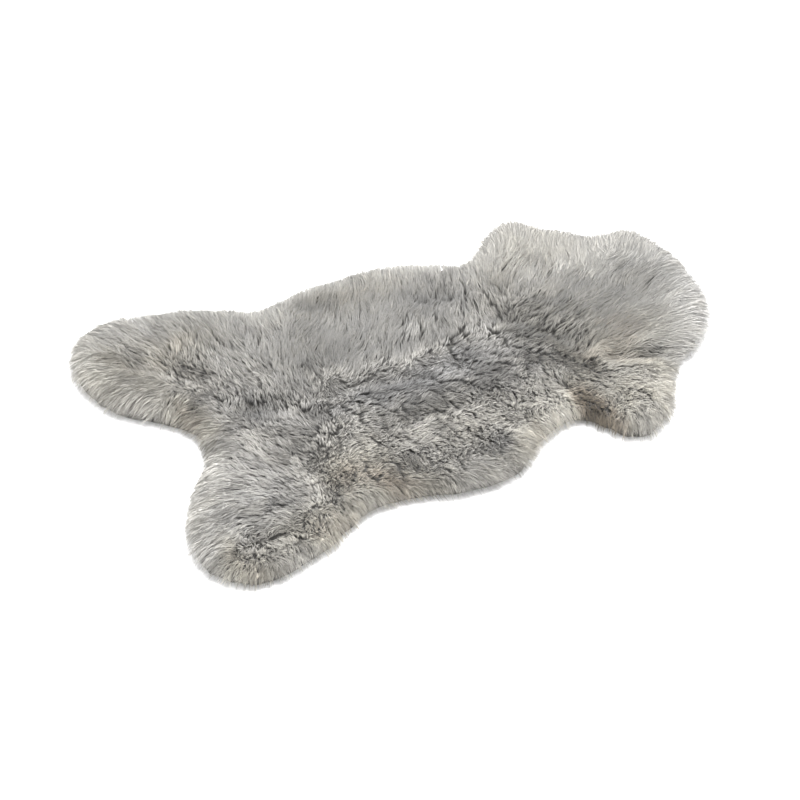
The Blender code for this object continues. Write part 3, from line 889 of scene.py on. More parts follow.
@dataclass
class Fleece:
    """The wool: where each strand stands, how it is combed and what colour it is.

    Strands gather into locks, and locks into staples. A gather is the share of the way that they
    move towards the middle of their lock or staple.
    """

    pelt: Pelt
    habit: Habit = Habit()
    opening: Opening = Opening()
    fringe: Fringe = Fringe()
    tone: Tone = Tone()
    steepest: float = 3.2
    bare_rim: float = 0.2 * MM
    tip_scatter: float = 0.3
    comb_reach: float = 18 * MM
    lock_pitch: float = 5.7 * MM
    staple_pitch: float = 24 * MM
    centre_scatter: float = 0.9
    choices: int = 9
    slimness: float = 0.78
    lock_gather: float = 0.54
    staple_gather: float = 0.20
    gather: Mix = Mix(1.15, 0.85)
    gather_lay: tuple[float, float] = (0.2, 0.7)
    gather_across: float = 0.75
    root_gather: float = 0.25
    lock_swing: float = 0.75
    staple_swing: float = 0.65
    bent_rim: float = 0.8
    rim_reach: float = 40 * MM
    rim_start: float = 0.12
    rim_outward: float = 0.18
    small_turn: float = 0.8
    dice: np.random.Generator = field(default_factory=lambda: np.random.default_rng(SEED))

    def tips(self, pitch: float) -> np.ndarray:
        """Scatter strand tips, one for each patch of surface of the same area.

        Args:
            pitch: The mean distance between tips.

        Returns:
            Plan positions as rows of x and y.
        """
        grid = self.pelt.grid
        cells = lattice(grid, pitch)
        places = grid.low + (cells + self.dice.random(cells.shape)) * pitch
        inset = self.pelt.inset(places)
        tilt = self.pelt.tilt_of(inset)
        area = np.minimum(1.0 / np.maximum(np.sin(tilt), 1e-3), self.steepest)
        copies = np.floor(area + self.dice.random(len(places))).astype(int)
        copies[inset < self.bare_rim] = 0
        places = np.repeat(places, copies, axis=0)
        return places + self.dice.normal(scale=self.tip_scatter * pitch, size=places.shape)

    def combed(self, places: np.ndarray) -> np.ndarray:
        """Blend the rows of the groom table at places.

        Args:
            places: Plan positions as rows of x and y.

        Returns:
            Plan vectors, as long as the lay.
        """
        spots = np.array([(row.x, row.y) for row in GROOM]) * MM
        turn = np.radians([row.heading for row in GROOM])
        lay = np.array([row.lay for row in GROOM])[:, None]
        falls = lay * np.stack([np.cos(turn), np.sin(turn)], axis=1)
        gap = ((places[:, None] - spots[None]) ** 2).sum(axis=2)
        weight = 1.0 / (gap + self.comb_reach**2) ** 2
        return weight @ falls / weight.sum(axis=1, keepdims=True)

    def shades(self, places: np.ndarray) -> tuple[np.ndarray, np.ndarray]:
        """Lay the patches over one another at places: their warmth and their painted light and
        shade.

        Args:
            places: Plan positions as rows of x and y.

        Returns:
            The warmth and the painted light and shade of each.
        """
        warmth, light = np.zeros(len(places)), np.ones(len(places))
        for row in PATCHES:
            turn = math.radians(row.heading)
            x, y = (places - np.array((row.x, row.y)) * MM).T
            long_way = (x * math.cos(turn) + y * math.sin(turn)) / (row.along * MM)
            short_way = (y * math.cos(turn) - x * math.sin(turn)) / (row.across * MM)
            share = np.exp(-(long_way**2) - short_way**2)
            warmth += share * row.warmth
            # The patch's painted light and shade, at its share.
            light *= row.light**share
        return warmth, light

    def scattered(self, pitch: float) -> tuple[np.ndarray, KDTree]:
        """Scatter centres that strands gather round.

        Args:
            pitch: The mean distance between neighbouring centres.

        Returns:
            The centres as rows of x and y, and a tree that finds the nearest of them.
        """
        grid = self.pelt.grid
        cells = lattice(grid, pitch)
        cells = np.stack([cells[:, 0] + 0.5 * (cells[:, 1] % 2), cells[:, 1]], axis=1)
        shift = self.dice.random(cells.shape) * self.centre_scatter
        centres = grid.low + (cells + shift) * pitch
        tree = KDTree(len(centres))
        for index, (x, y) in enumerate(centres):
            tree.insert((x, y, 0.0), index)
        tree.balance()
        return centres, tree

    def gathered(
        self, tree: KDTree, centres: np.ndarray, places: np.ndarray, fall: np.ndarray
    ) -> np.ndarray:
        """Choose the centre that each place gathers round, in groups as long as the wool is flat.

        Args:
            tree: Finds the centres near a place.
            centres: The centres as rows of x and y.
            places: The places as rows of x and y.
            fall: The way the wool falls at each place, as long as its lay.

        Returns:
            The number of a centre for each place.
        """
        near = np.array(
            [[found[1] for found in tree.find_n((x, y, 0.0), self.choices)] for x, y in places]
        )
        way = centres[near] - places[:, None]
        lay = np.linalg.norm(fall, axis=1, keepdims=True)
        along = (way * unit(fall)[:, None]).sum(axis=2)
        shrink = (1.0 - self.slimness * lay) ** 2
        gap = (way**2).sum(axis=2) - along**2 * (1.0 - shrink)
        return near[np.arange(len(places)), gap.argmin(axis=1)]

    def drawn_together(self, way: np.ndarray, fall: np.ndarray, share: float) -> np.ndarray:
        """Draw strands to a centre, mostly across the fall where the wool lies flat.

        Args:
            way: The plan vector from each strand to its centre.
            fall: The way the wool falls there, as long as its lay.
            share: The share of the way that strands move.

        Returns:
            One plan vector for each strand.
        """
        lay = np.linalg.norm(fall, axis=1, keepdims=True)
        heading = unit(fall)
        along = (way * heading).sum(axis=1, keepdims=True) * heading
        flat = smooth_step(*self.gather_lay, lay)
        return share * self.gather.at(flat) * (way - along * flat * self.gather_across)

    def grown(self) -> list[Locks]:
        """Grow both kinds of wool, which share the centres that they gather round.

        Returns:
            One batch for each kind of wool, near the rim and away from it.
        """
        centres, near_centre = self.scattered(self.lock_pitch)
        staples, near_staple = self.scattered(self.staple_pitch)
        staple_of = self.gathered(near_staple, staples, centres, self.combed(centres))
        swing = self.lock_swing * self.dice.normal(size=(len(centres), len(Swing)))
        shared = self.dice.normal(size=(len(staples), len(Swing)))
        swing += self.staple_swing * shared[staple_of]
        to_staple = staples[staple_of] - centres
        made = []
        for growth in (LONG_WOOL, FINE_WOOL):
            tips = self.tips(growth.pitch)
            fall = self.combed(tips)
            own = self.gathered(near_centre, centres, tips, fall)
            pull = self.drawn_together(centres[own] - tips, fall, self.lock_gather)
            pull += self.drawn_together(to_staple[own], fall, self.staple_gather)
            near_rim = self.pelt.inset(tips) < self.bent_rim * self.pelt.SHOULDER
            for mask, levels in ((near_rim, growth.rim_levels), (~near_rim, growth.levels)):
                stand = self._stand(growth, levels, tips[mask], swing[own[mask]])
                lines, stray = self._lines(stand, pull[mask])
                made.append(self._coloured(stand, lines, stray, centres[own[mask]]))
        return made

    def _stand(
        self, growth: Growth, levels: tuple[float, ...], tips: np.ndarray, swing: np.ndarray
    ) -> Stand:
        """Read all that the strands' places say about them.

        Args:
            growth: The kind of wool.
            levels: How far along a strand each of its points lies, from 0 to 1.
            tips: Plan positions of the tips.
            swing: The random numbers of each tip's lock.

        Returns:
            The strands, not yet shaped.
        """
        habit = self.habit
        inset = self.pelt.inset(tips)
        outward = self.pelt.outward(tips)
        fall = self.combed(tips)
        lay = np.linalg.norm(fall, axis=1)
        sleek = smooth_step(*habit.sleek_lay, lay)
        ripple = Ripple(Wave.BROAD_TURN).at(tips)
        ripple += self.small_turn * Ripple(Wave.SMALL_TURN).at(tips)
        turn = habit.lock_turn.at(sleek) * swing[:, Swing.TURN] + habit.wave_turn.at(sleek) * ripple
        turn += habit.strand_turn.at(sleek) * self.dice.normal(size=len(tips))
        x, y = fall.T
        cos, sin = np.cos(turn), np.sin(turn)
        fall = np.stack([x * cos - y * sin, x * sin + y * cos], axis=1)
        at_rim = 1.0 - smooth_step(self.rim_start * self.rim_reach, self.rim_reach, inset)
        fall = fall + self.rim_outward * (outward - fall) * at_rim[:, None]
        soft_rim = at_rim * smooth_step(*habit.soft_rim_lay, lay)
        silky = np.maximum(smooth_step(*habit.silky_lay, lay), habit.soft_rim_silk * soft_rim)
        warmth, light = self.shades(tips)
        return Stand(
            growth=growth,
            levels=levels,
            tips=tips,
            swing=swing,
            inset=inset,
            outward=outward,
            fall=fall,
            sleek=sleek,
            silky=silky,
            at_rim=at_rim,
            soft_rim=soft_rim,
            warmth=warmth,
            light=light,
        )

    def _lines(self, stand: Stand, pull: np.ndarray) -> tuple[np.ndarray, np.ndarray]:
        """Lay out the strands' centre lines.

        Args:
            stand: The strands.
            pull: How far each tip would move on the plan towards its neighbours.

        Returns:
            The points of each line, and which strands stray from their lock.
        """
        habit, fringe, count = self.habit, self.fringe, len(stand.tips)
        inset, outward, fall = stand.inset, stand.outward, stand.fall
        pull = pull * self.opening.at(stand)[:, None]
        vary = 1.0 + habit.lock_length * stand.swing[:, Swing.LENGTH]
        vary += habit.strand_length * self.dice.normal(size=count)
        length = stand.growth.length * vary.clip(*habit.length_limits)
        length *= habit.length.at(stand.sleek)
        side = np.stack([-outward[:, 1], outward[:, 0]], axis=1)
        along, across = (fall * outward).sum(axis=1), (fall * side).sum(axis=1)
        droop = fringe.droop_of(inset, self.dice.random(count))
        reach = fringe.reach_of(stand.tips, inset, self.dice.random(count))
        floor_gap = fringe.floor_gap_of(stand.at_rim, self.dice.random(count))
        rise = np.sqrt((1.0 - (fall**2).sum(axis=1)).clip(*habit.rise_limits))
        depth = stand.growth.root_depth * (habit.root_depth[0] + habit.root_depth[1] * rise)
        lift, stray = self._lift(stand)
        bow = habit.lock_bow.at(stand.sleek) * stand.swing[:, Swing.BOW]
        bow += habit.strand_bow * self.dice.normal(size=count)
        sideways = unit(np.stack([-fall[:, 1], fall[:, 0]], axis=1)) * bow[:, None]
        settle = habit.settle.at(stand.sleek)
        tip_run = self.pelt.run_of(inset)
        lines = np.zeros((count, len(stand.levels), 3))
        for k, level in enumerate(stand.levels):
            back = (1.0 - level) * length
            inset_here = self.pelt.inset_of_run(tip_run + along * back)
            places = stand.tips - outward * (inset_here - inset)[:, None]
            places = places - side * (across * back)[:, None]
            places = places + pull * (self.root_gather + (1.0 - self.root_gather) * level)
            places = places + sideways * (4.0 * level * (1.0 - level))
            points, normals = self.pelt.surface(places, np.maximum(inset_here, 0.0))
            sink = depth * (1.0 - level) ** settle - lift * level
            points = points - normals * sink[:, None]
            points[:, 2] -= droop * level**2
            points[:, :2] += outward * ((fringe.droop_spread * droop + reach) * level)[:, None]
            points[:, 2] = np.maximum(points[:, 2], floor_gap + fringe.root_gap * (1.0 - level))
            lines[:, k] = points
        return lines, stray

    def _lift(self, stand: Stand) -> tuple[np.ndarray, np.ndarray]:
        """Lift tips above the envelope.

        Args:
            stand: The strands.

        Returns:
            How far each tip stands up, and which strands stray.
        """
        habit, count = self.habit, len(stand.tips)
        lift = habit.lock_lift.at(stand.silky) * stand.swing[:, Swing.LIFT]
        lift += habit.strand_lift.at(stand.silky) * self.dice.normal(size=count)
        lift += habit.wave_lift * Ripple(Wave.TIP_LIFT).at(stand.tips)
        stray = self.dice.random(count) < habit.stray_share
        lift += stray * self.dice.random(count) * habit.stray_lift
        return lift, stray

    def _coloured(
        self, stand: Stand, lines: np.ndarray, stray: np.ndarray, centres: np.ndarray
    ) -> Locks:
        """Give the strands their widths and colours, with painted light and shade.

        Args:
            stand: The strands.
            lines: The points of their centre lines.
            stray: Which of them stray from their lock.
            centres: Plan position of the middle of each strand's lock.

        Returns:
            The finished strands.
        """
        tone, count = self.tone, len(lines)
        vary = 1.0 + tone.width_spread * self.dice.normal(size=count)
        radii = stand.growth.radius * vary.clip(*tone.width_limits)
        radii[stray] *= tone.stray_width
        radii *= 1.0 - tone.rim_slimming * smooth_step(*tone.rim_slim_inset, stand.inset)
        taper = np.interp(stand.levels, [0.0, 0.5, 1.0], tone.taper)
        warmth = stand.warmth + tone.warmth + tone.lock_warmth * stand.swing[:, Swing.WARMTH]
        warmth = warmth + tone.strand_warmth * self.dice.normal(size=count)
        light = stand.light * (1.0 + tone.lock_light.at(stand.silky) * stand.swing[:, Swing.LIGHT])
        speck = self.dice.normal(size=count).clip(*tone.strand_limits)
        speck = speck * (1.0 - tone.rim_calm * stand.at_rim)
        light = light * (1.0 + tone.strand_light.at(stand.silky) * speck)
        # Painted light, lighter towards the rim.
        light = light * tone.painted_rim_gain(stand.inset)
        # Painted shade: darker roots and darker wool near the floor.
        shades = tone.shades(stand, lines[:, :, 2])
        return Locks(
            lines=lines,
            radii=radii[:, None] * taper[None],
            warmth=warmth,
            light=np.clip(light[:, None] * shades, *tone.limits),
            centre_x=centres[:, 0],
            centre_y=centres[:, 1],
        )

    def build(self, material: bpy.types.Material) -> list[bpy.types.Object]:
        """Build the wool.

        Args:
            material: The wool's material.

        Returns:
            The pieces, one for each region.
        """
        grown = self.grown()
        pieces = []
        for region in Region:
            tubes = LockMesh()
            for locks in grown:
                tubes.add(locks.chosen(region_mask(region, locks.centre_x, locks.centre_y)))
            piece = tubes.finish(region.value, material)
            ride_as(piece, ("fleece",))
            pieces.append(piece)
        return pieces


def lattice(grid: PlanGrid, pitch: float) -> np.ndarray:
    """Number the square cells that cover a grid by column and row.

    Args:
        grid: The grid.
        pitch: The side of a cell.

    Returns:
        Rows of two whole numbers.
    """
    count = (np.array(grid.shape) * grid.pitch / pitch).astype(int)
    columns, rows = np.meshgrid(np.arange(count[0]), np.arange(count[1]), indexing="ij")
    return np.stack([columns.ravel(), rows.ravel()], axis=1)


def region_mask(region: Region, x: np.ndarray, y: np.ndarray) -> np.ndarray:
    """Tell which places belong to a region.

    Args:
        region: The region.
        x: The places' x.
        y: The places' y.

    Returns:
        An array of booleans.
    """
    neck, shoulders, ribs, loin = 280 * MM, 74 * MM, -104 * MM, -290 * MM
    spans = {
        Region.NECK: (neck, math.inf),
        Region.SHOULDERS: (shoulders, neck),
        Region.RIBS: (ribs, shoulders),
        Region.LOIN: (loin, ribs),
        Region.HIND_LEFT: (-math.inf, loin),
        Region.HIND_RIGHT: (-math.inf, loin),
    }
    low, high = spans[region]
    inside = (x >= low) & (x < high)
    if region is Region.HIND_LEFT:
        inside &= y >= 0
    if region is Region.HIND_RIGHT:
        inside &= y < 0
    return inside


class LockMesh:
    """Collects strands as slim three-sided closed tubes that end in a point.

    The tint map holds warmth along U and lightness, with its painted light and shade, along V. The
    corners of a tube differ in it a little, so that no face has a flat patch of the map.
    """

    SIDES = 3
    CORNER_WARMTH = 0.02
    CORNER_LIGHT = 0.004
    MAP_MIDDLE = 0.5
    MAP_WARMTH = 0.22
    MAP_LIGHT = 0.7
    MAP_LIMITS = (0.004, 0.996)

    def __init__(self) -> None:
        """Start with no strands."""
        self._points: list[np.ndarray] = []
        self._loops: list[np.ndarray] = []
        self._sizes: list[np.ndarray] = []
        self._tints: list[np.ndarray] = []
        self._count = 0

    def add(self, locks: Locks) -> None:
        """Add strands to the mesh.

        Args:
            locks: The strands.
        """
        count, stops = locks.lines.shape[:2]
        if not count:
            return
        rings = stops - 1
        along = unit(locks.lines[:, -1] - locks.lines[:, 0])
        dice = np.random.default_rng(SEED + count)
        first = unit(np.cross(along, dice.normal(size=(count, 3))))
        second = np.cross(along, first)
        points = np.zeros((count, rings * self.SIDES + 1, 3))
        tint = np.zeros((count, rings * self.SIDES + 1, 2))
        for ring in range(rings):
            for corner in range(self.SIDES):
                turn = 2 * math.pi * corner / self.SIDES
                spoke = math.cos(turn) * first + math.sin(turn) * second
                place = ring * self.SIDES + corner
                points[:, place] = locks.lines[:, ring] + spoke * locks.radii[:, ring, None]
                tint[:, place, 0] = locks.warmth + self.CORNER_WARMTH * (corner - 1)
                tint[:, place, 1] = locks.light[:, ring] + self.CORNER_LIGHT * (corner - 1)
        points[:, -1] = locks.lines[:, -1]
        tint[:, -1] = np.stack([locks.warmth, locks.light[:, -1]], axis=1)
        faces = self._faces(rings)
        pattern = np.concatenate([np.array(face) for face in faces])
        starts = self._count + np.arange(count) * points.shape[1]
        self._loops.append((starts[:, None] + pattern[None]).ravel())
        self._sizes.append(np.tile([len(face) for face in faces], count))
        self._tints.append(tint[:, pattern].reshape(-1, 2))
        self._points.append(points.reshape(-1, 3))
        self._count += count * points.shape[1]

    def _faces(self, rings: int) -> list[tuple[int, ...]]:
        """List one strand's faces: the root's cap, the sides and the point.

        Args:
            rings: How many rings of corners the strand has.

        Returns:
            Tuples of corner numbers.
        """
        faces: list[tuple[int, ...]] = [tuple(reversed(range(self.SIDES)))]
        for ring in range(rings - 1):
            for corner in range(self.SIDES):
                here = ring * self.SIDES + corner
                beside = ring * self.SIDES + (corner + 1) % self.SIDES
                faces.append((here, beside, beside + self.SIDES, here + self.SIDES))
        last = (rings - 1) * self.SIDES
        apex = rings * self.SIDES
        faces += [(last + c, last + (c + 1) % self.SIDES, apex) for c in range(self.SIDES)]
        return faces

    def finish(self, name: str, material: bpy.types.Material) -> bpy.types.Object:
        """Make the mesh object.

        Args:
            name: The piece's name.
            material: Its material, which reads warmth and lightness from the tint map.

        Returns:
            The object, linked to the scene.
        """
        loops = np.concatenate(self._loops)
        sizes = np.concatenate(self._sizes)
        mesh = bpy.data.meshes.new(name)
        mesh.vertices.add(self._count)
        mesh.vertices.foreach_set("co", np.concatenate(self._points).ravel())
        mesh.loops.add(len(loops))
        mesh.loops.foreach_set("vertex_index", loops)
        mesh.polygons.add(len(sizes))
        mesh.polygons.foreach_set("loop_start", np.concatenate([[0], np.cumsum(sizes)[:-1]]))
        mesh.update(calc_edges=True)
        mesh.shade_smooth()
        warmth, light = np.concatenate(self._tints).T
        across, up = self.MAP_MIDDLE + self.MAP_WARMTH * warmth, self.MAP_LIGHT * light
        values = np.stack([across, up], axis=1).clip(*self.MAP_LIMITS)
        mesh.uv_layers.new(name=TINT_MAP).data.foreach_set("uv", values.ravel())
        mesh.materials.append(material)
        piece = bpy.data.objects.new(name, mesh)
        bpy.context.scene.collection.objects.link(piece)
        return piece


@dataclass
class Undercoat:
    """The dense short wool under the strands, as one closed lumpy body."""

    pelt: Pelt
    pitch: float = 6 * MM
    sink: float = 12 * MM
    rim_inset: float = 14 * MM
    floor_gap: float = 2.6 * MM
    curl: float = 2.2 * MM
    small_curl: float = 0.6

    def build(self, material: bpy.types.Material) -> bpy.types.Object:
        """Build the undercoat from the cells of a grid inside the rim.

        Args:
            material: The material of its curls.

        Returns:
            The undercoat, closed by a side and a base.
        """
        grid = self.pelt.grid
        step = self.pitch / grid.pitch
        shape = tuple(int(side / step) for side in grid.shape)
        cells = PlanGrid(grid.low, shape, self.pitch)
        places = cells.points()
        inset = self.pelt.inset(places)
        slide = np.clip(self.rim_inset - inset, 0.0, self.pitch)
        places = places - self.pelt.outward(places) * slide[:, None]
        kept = (inset > self.rim_inset - self.pitch).reshape(shape)
        inset = self.pelt.inset(places)
        points, normals = self.pelt.surface(places, inset)
        bumps = Ripple(Wave.BROAD_CURL).at(places)
        bumps += self.small_curl * Ripple(Wave.SMALL_CURL).at(places)
        drop = np.minimum(self.sink - self.curl * bumps, points[:, 2] - 2 * self.floor_gap)
        top = points[:, 2] - drop
        base = np.full(len(top), self.floor_gap)
        quads = kept[:-1, :-1] & kept[1:, :-1] & kept[1:, 1:] & kept[:-1, 1:]
        index = np.arange(len(places)).reshape(shape)
        ring = [index[:-1, :-1], index[1:, :-1], index[1:, 1:], index[:-1, 1:]]
        corners = np.stack(ring, axis=-1)[quads]
        total = len(places)
        faces = [tuple(int(i) for i in row) for row in corners]
        faces += [tuple(int(i) + total for i in row[::-1]) for row in corners]
        faces += self._side(corners, total)
        high = np.concatenate([places, top[:, None]], axis=1)
        low = np.concatenate([places, base[:, None]], axis=1)
        piece = mesh_object("undercoat", np.concatenate([high, low]), faces, material)
        ride_as(piece, ("fleece",))
        return piece

    def _side(self, corners: np.ndarray, total: int) -> list[tuple[int, ...]]:
        """Close the side, along each edge that only one upper face has.

        Args:
            corners: Rows of the four corners of each upper face.
            total: What is added to a corner's number for the one below it.

        Returns:
            Tuples of corner numbers.
        """
        ways = set()
        for row in corners:
            for k in range(4):
                ways.add((int(row[k]), int(row[(k + 1) % 4])))
        return [(b, a, a + total, b + total) for a, b in sorted(ways) if (b, a) not in ways]


# ---------------------------------------------------------------------------------------------
# The hide
# ---------------------------------------------------------------------------------------------


@dataclass
class Hide:
    """The tanned skin that the wool grows from: a flat sheet with a softly rounded cut edge."""

    solid: bpy.types.Object
    pitch: float = 15 * MM
    thickness: float = 2.0 * MM
    edge_round: float = 0.5 * MM
    thinning: float = 0.22 * MM
    inner_gap: float = 0.8  # points inside stay this share of the pitch away from the edge
    side_slope: float = 0.5  # the normals of the solid's side rise or fall by less than this

    def outline(self) -> np.ndarray:
        """Follow the cut edge round the solid.

        Returns:
            Rows of x and y, anticlockwise.
        """
        mesh = self.solid.data
        spots = [tuple(round(value, 6) for value in vertex.co) for vertex in mesh.vertices]
        onward: dict[tuple, set[tuple]] = {}
        for polygon in mesh.polygons:
            if abs(polygon.normal.z) > self.side_slope:
                continue
            for a, b in polygon.edge_keys:
                start, end = spots[a], spots[b]
                if start != end and max(start[2], end[2]) < 0.5 * self.thickness:
                    onward.setdefault(start, set()).add(end)
                    onward.setdefault(end, set()).add(start)
        start = min(onward)
        loop, before, here = [start], start, min(onward[start])
        while here != start:
            loop.append(here)
            before, here = here, next(spot for spot in onward[here] if spot != before)
        points = np.array(loop)[:, :2]
        return points if self.area(points) > 0 else points[::-1]

    def area(self, loop: np.ndarray) -> float:
        """Return a closed loop's area, negative where it runs clockwise."""
        onward = np.roll(loop, -1, axis=0)
        return float(0.5 * (loop[:, 0] * onward[:, 1] - onward[:, 0] * loop[:, 1]).sum())

    def build(self, material: bpy.types.Material) -> bpy.types.Object:
        """Build the hide.

        Args:
            material: The suede.

        Returns:
            The hide, closed and level underneath.
        """
        rim = self.outline()
        along = np.roll(rim, -1, axis=0) - np.roll(rim, 1, axis=0)
        inward = unit(np.stack([-along[:, 1], along[:, 0]], axis=1))
        drawn_in = rim + inward * self.edge_round
        low = rim.min(axis=0)
        count = ((rim.max(axis=0) - low) / self.pitch).astype(int) + 1
        grid = PlanGrid(low, (int(count[0]), int(count[1])), self.pitch).points()
        gap = np.sqrt(((grid[:, None] - rim[None]) ** 2).sum(axis=2).min(axis=1))
        inner = grid[(gap > self.inner_gap * self.pitch) & self._covers(rim, grid)]
        flat = np.concatenate([drawn_in, inner])
        edges = [(i, (i + 1) % len(rim)) for i in range(len(rim))]
        made = delaunay_2d_cdt([Vector(row) for row in flat], edges, [], 1, 1e-7)
        triangles = [tuple(made[3][i][0] for i in face) for face in made[2]]
        heights = (0.0, self.edge_round, self.thickness - self.edge_round)
        rings = [np.column_stack([rim, np.full(len(rim), z)]) for z in heights[1:]]
        worn = self.thinning * np.abs(Ripple(Wave.WORN_HIDE).at(flat)).clip(0.0, 2.0)
        worn[: len(rim)] = 0.0
        bottom = np.column_stack([flat, np.zeros(len(flat))])
        top = np.column_stack([flat, self.thickness - worn])
        points = np.concatenate([bottom, top, *rings])
        top_start, ring_start = len(flat), 2 * len(flat)
        faces = [face[::-1] for face in triangles]
        faces += [tuple(i + top_start for i in face) for face in triangles]
        stack = (0, ring_start, ring_start + len(rim), top_start)
        for below, above in zip(stack, stack[1:]):
            faces += [(a + below, b + below, b + above, a + above) for a, b in edges]
        piece = mesh_object("hide_skin", points, faces, material)
        ride_as(piece, ("hide",))
        return piece

    def _covers(self, rim: np.ndarray, places: np.ndarray) -> np.ndarray:
        """Tell which places lie inside the rim, by counting crossings.

        Args:
            rim: The cut edge as rows of x and y.
            places: The places as rows of x and y.

        Returns:
            An array of booleans.
        """
        inside = np.zeros(len(places), dtype=bool)
        for (ax, ay), (bx, by) in zip(rim, np.roll(rim, -1, axis=0)):
            if ay == by:
                continue
            spans = (ay > places[:, 1]) != (by > places[:, 1])
            crossing = ax + (places[:, 1] - ay) / (by - ay) * (bx - ax)
            inside ^= spans & (places[:, 0] < crossing)
        return inside


def mesh_object(
    name: str, points: np.ndarray, faces: list[tuple[int, ...]], material: bpy.types.Material
) -> bpy.types.Object:
    """Make a smooth mesh object from points and faces.

    Args:
        name: The piece's name.
        points: Rows of x, y and z. Points that no face uses are left out.
        faces: Tuples of point numbers.
        material: The material for all faces.

    Returns:
        The object, linked to the scene.
    """
    used = np.unique(np.concatenate([np.array(face) for face in faces]))
    number = np.full(len(points), -1)
    number[used] = np.arange(len(used))
    mesh = bpy.data.meshes.new(name)
    renumbered = [tuple(int(number[i]) for i in face) for face in faces]
    mesh.from_pydata(points[used].tolist(), [], renumbered)
    mesh.shade_smooth()
    mesh.materials.append(material)
    piece = bpy.data.objects.new(name, mesh)
    bpy.context.scene.collection.objects.link(piece)
    return piece


def ride_as(piece: bpy.types.Object, nodes: tuple[str, ...]) -> None:
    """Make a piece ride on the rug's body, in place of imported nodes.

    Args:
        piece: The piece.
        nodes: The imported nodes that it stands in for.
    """
    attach(piece, BODY)
    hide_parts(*nodes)


# ---------------------------------------------------------------------------------------------
# Finishes
# ---------------------------------------------------------------------------------------------


def group_with(name: str, inputs: dict[str, float], output: str) -> bpy.types.NodeTree:
    """Start a shader node group.

    Args:
        name: The group's name.
        inputs: The names and first values of its number inputs.
        output: The name of its colour output.

    Returns:
        The group, with its input and output nodes in place.
    """
    tree = bpy.data.node_groups.new(name, "ShaderNodeTree")
    for label, value in inputs.items():
        socket = tree.interface.new_socket(label, in_out="INPUT", socket_type="NodeSocketFloat")
        socket.default_value = value
    tree.interface.new_socket(output, in_out="OUTPUT", socket_type="NodeSocketColor")
    tree.nodes.new("NodeGroupInput")
    tree.nodes.new("NodeGroupOutput")
    return tree


def add_node(
    tree: bpy.types.NodeTree, kind: str, inputs: dict[str | int, float] | None = None
) -> bpy.types.Node:
    """Add a shader node.

    Args:
        tree: The material's node tree, or a group's.
        kind: The kind of node, without the leading "ShaderNode".
        inputs: The values of its number inputs, by name or place.

    Returns:
        The node.
    """
    node = tree.nodes.new("ShaderNode" + kind)
    for socket, value in (inputs or {}).items():
        node.inputs[socket].default_value = value
    return node


def join(
    tree: bpy.types.NodeTree, *wires: tuple[bpy.types.Node, str | int, bpy.types.Node, str | int]
) -> None:
    """Connect shader nodes.

    Args:
        tree: The material's node tree, or a group's.
        wires: For each, the node it leaves and its output, then the node it enters and its input.
    """
    for source, output, target, entry in wires:
        tree.links.new(source.outputs[output], target.inputs[entry])


FIBRE_SPECULAR = 0.25
SHEEN_ROUGHNESS = 0.5

# How the wool's colour runs with its warmth: slate, silver grey, cream, sand and light brown.
DYE_STOPS = (
    (0.15, (0.511, 0.536, 0.587)),
    (0.50, (0.575, 0.563, 0.541)),
    (0.65, (0.590, 0.562, 0.494)),
    (0.76, (0.610, 0.545, 0.456)),
    (0.90, (0.624, 0.533, 0.412)),
)


def fleece_dye_and_shade() -> bpy.types.NodeTree:
    """Make the group that turns a warmth into undyed grey wool's colour and scales it by a
    lightness, which carries the painted light and shade.

    Returns:
        The shader node group.
    """
    tree = group_with("fleece dye", {"Warmth": 0.5, "Lightness": 0.7}, "Color")
    entry, leave = tree.nodes["Group Input"], tree.nodes["Group Output"]
    ramp = add_node(tree, "ValToRGB")
    stops = ramp.color_ramp.elements
    while len(stops) < len(DYE_STOPS):
        stops.new(1.0)
    for stop, (position, color) in zip(stops, DYE_STOPS):
        stop.position = position
        stop.color = (*color, 1.0)
    scale = add_node(tree, "VectorMath")
    scale.operation = "SCALE"
    join(
        tree,
        (entry, "Warmth", ramp, "Fac"),
        (ramp, "Color", scale, 0),
        (entry, "Lightness", scale, "Scale"),
        (scale, "Vector", leave, "Color"),
    )
    return tree


def new_shader(
    name: str, roughness: float, sheen: float
) -> tuple[bpy.types.Material, bpy.types.Node]:
    """Start a material.

    Args:
        name: The material's name.
        roughness: Its roughness.
        sheen: The weight of its sheen.

    Returns:
        The material and its Principled shader.
    """
    material = bpy.data.materials.new(name)
    material.use_nodes = True
    shader = material.node_tree.nodes["Principled BSDF"]
    shader.inputs["Roughness"].default_value = roughness
    shader.inputs["Specular IOR Level"].default_value = FIBRE_SPECULAR
    shader.inputs["Sheen Weight"].default_value = sheen
    shader.inputs["Sheen Roughness"].default_value = SHEEN_ROUGHNESS
    return material, shader


@dataclass(frozen=True)
class LockWool:
    """The combed wool: the tint map gives each point's warmth and lightness."""

    dye_and_shade: bpy.types.NodeTree
    roughness: float = 0.75
    sheen: float = 0.15

    def material(self) -> bpy.types.Material:
        """Make the material.

        Returns:
            The finished material.
        """
        material, shader = new_shader("lock wool", self.roughness, self.sheen)
        tree = material.node_tree
        tint = add_node(tree, "UVMap")
        tint.uv_map = TINT_MAP
        split = add_node(tree, "SeparateXYZ")
        dye_and_shade = add_node(tree, "Group")
        dye_and_shade.node_tree = self.dye_and_shade
        join(
            tree,
            (tint, "UV", split, "Vector"),
            (split, "X", dye_and_shade, "Warmth"),
            (split, "Y", dye_and_shade, "Lightness"),
            (dye_and_shade, "Color", shader, "Base Color"),
        )
        return material


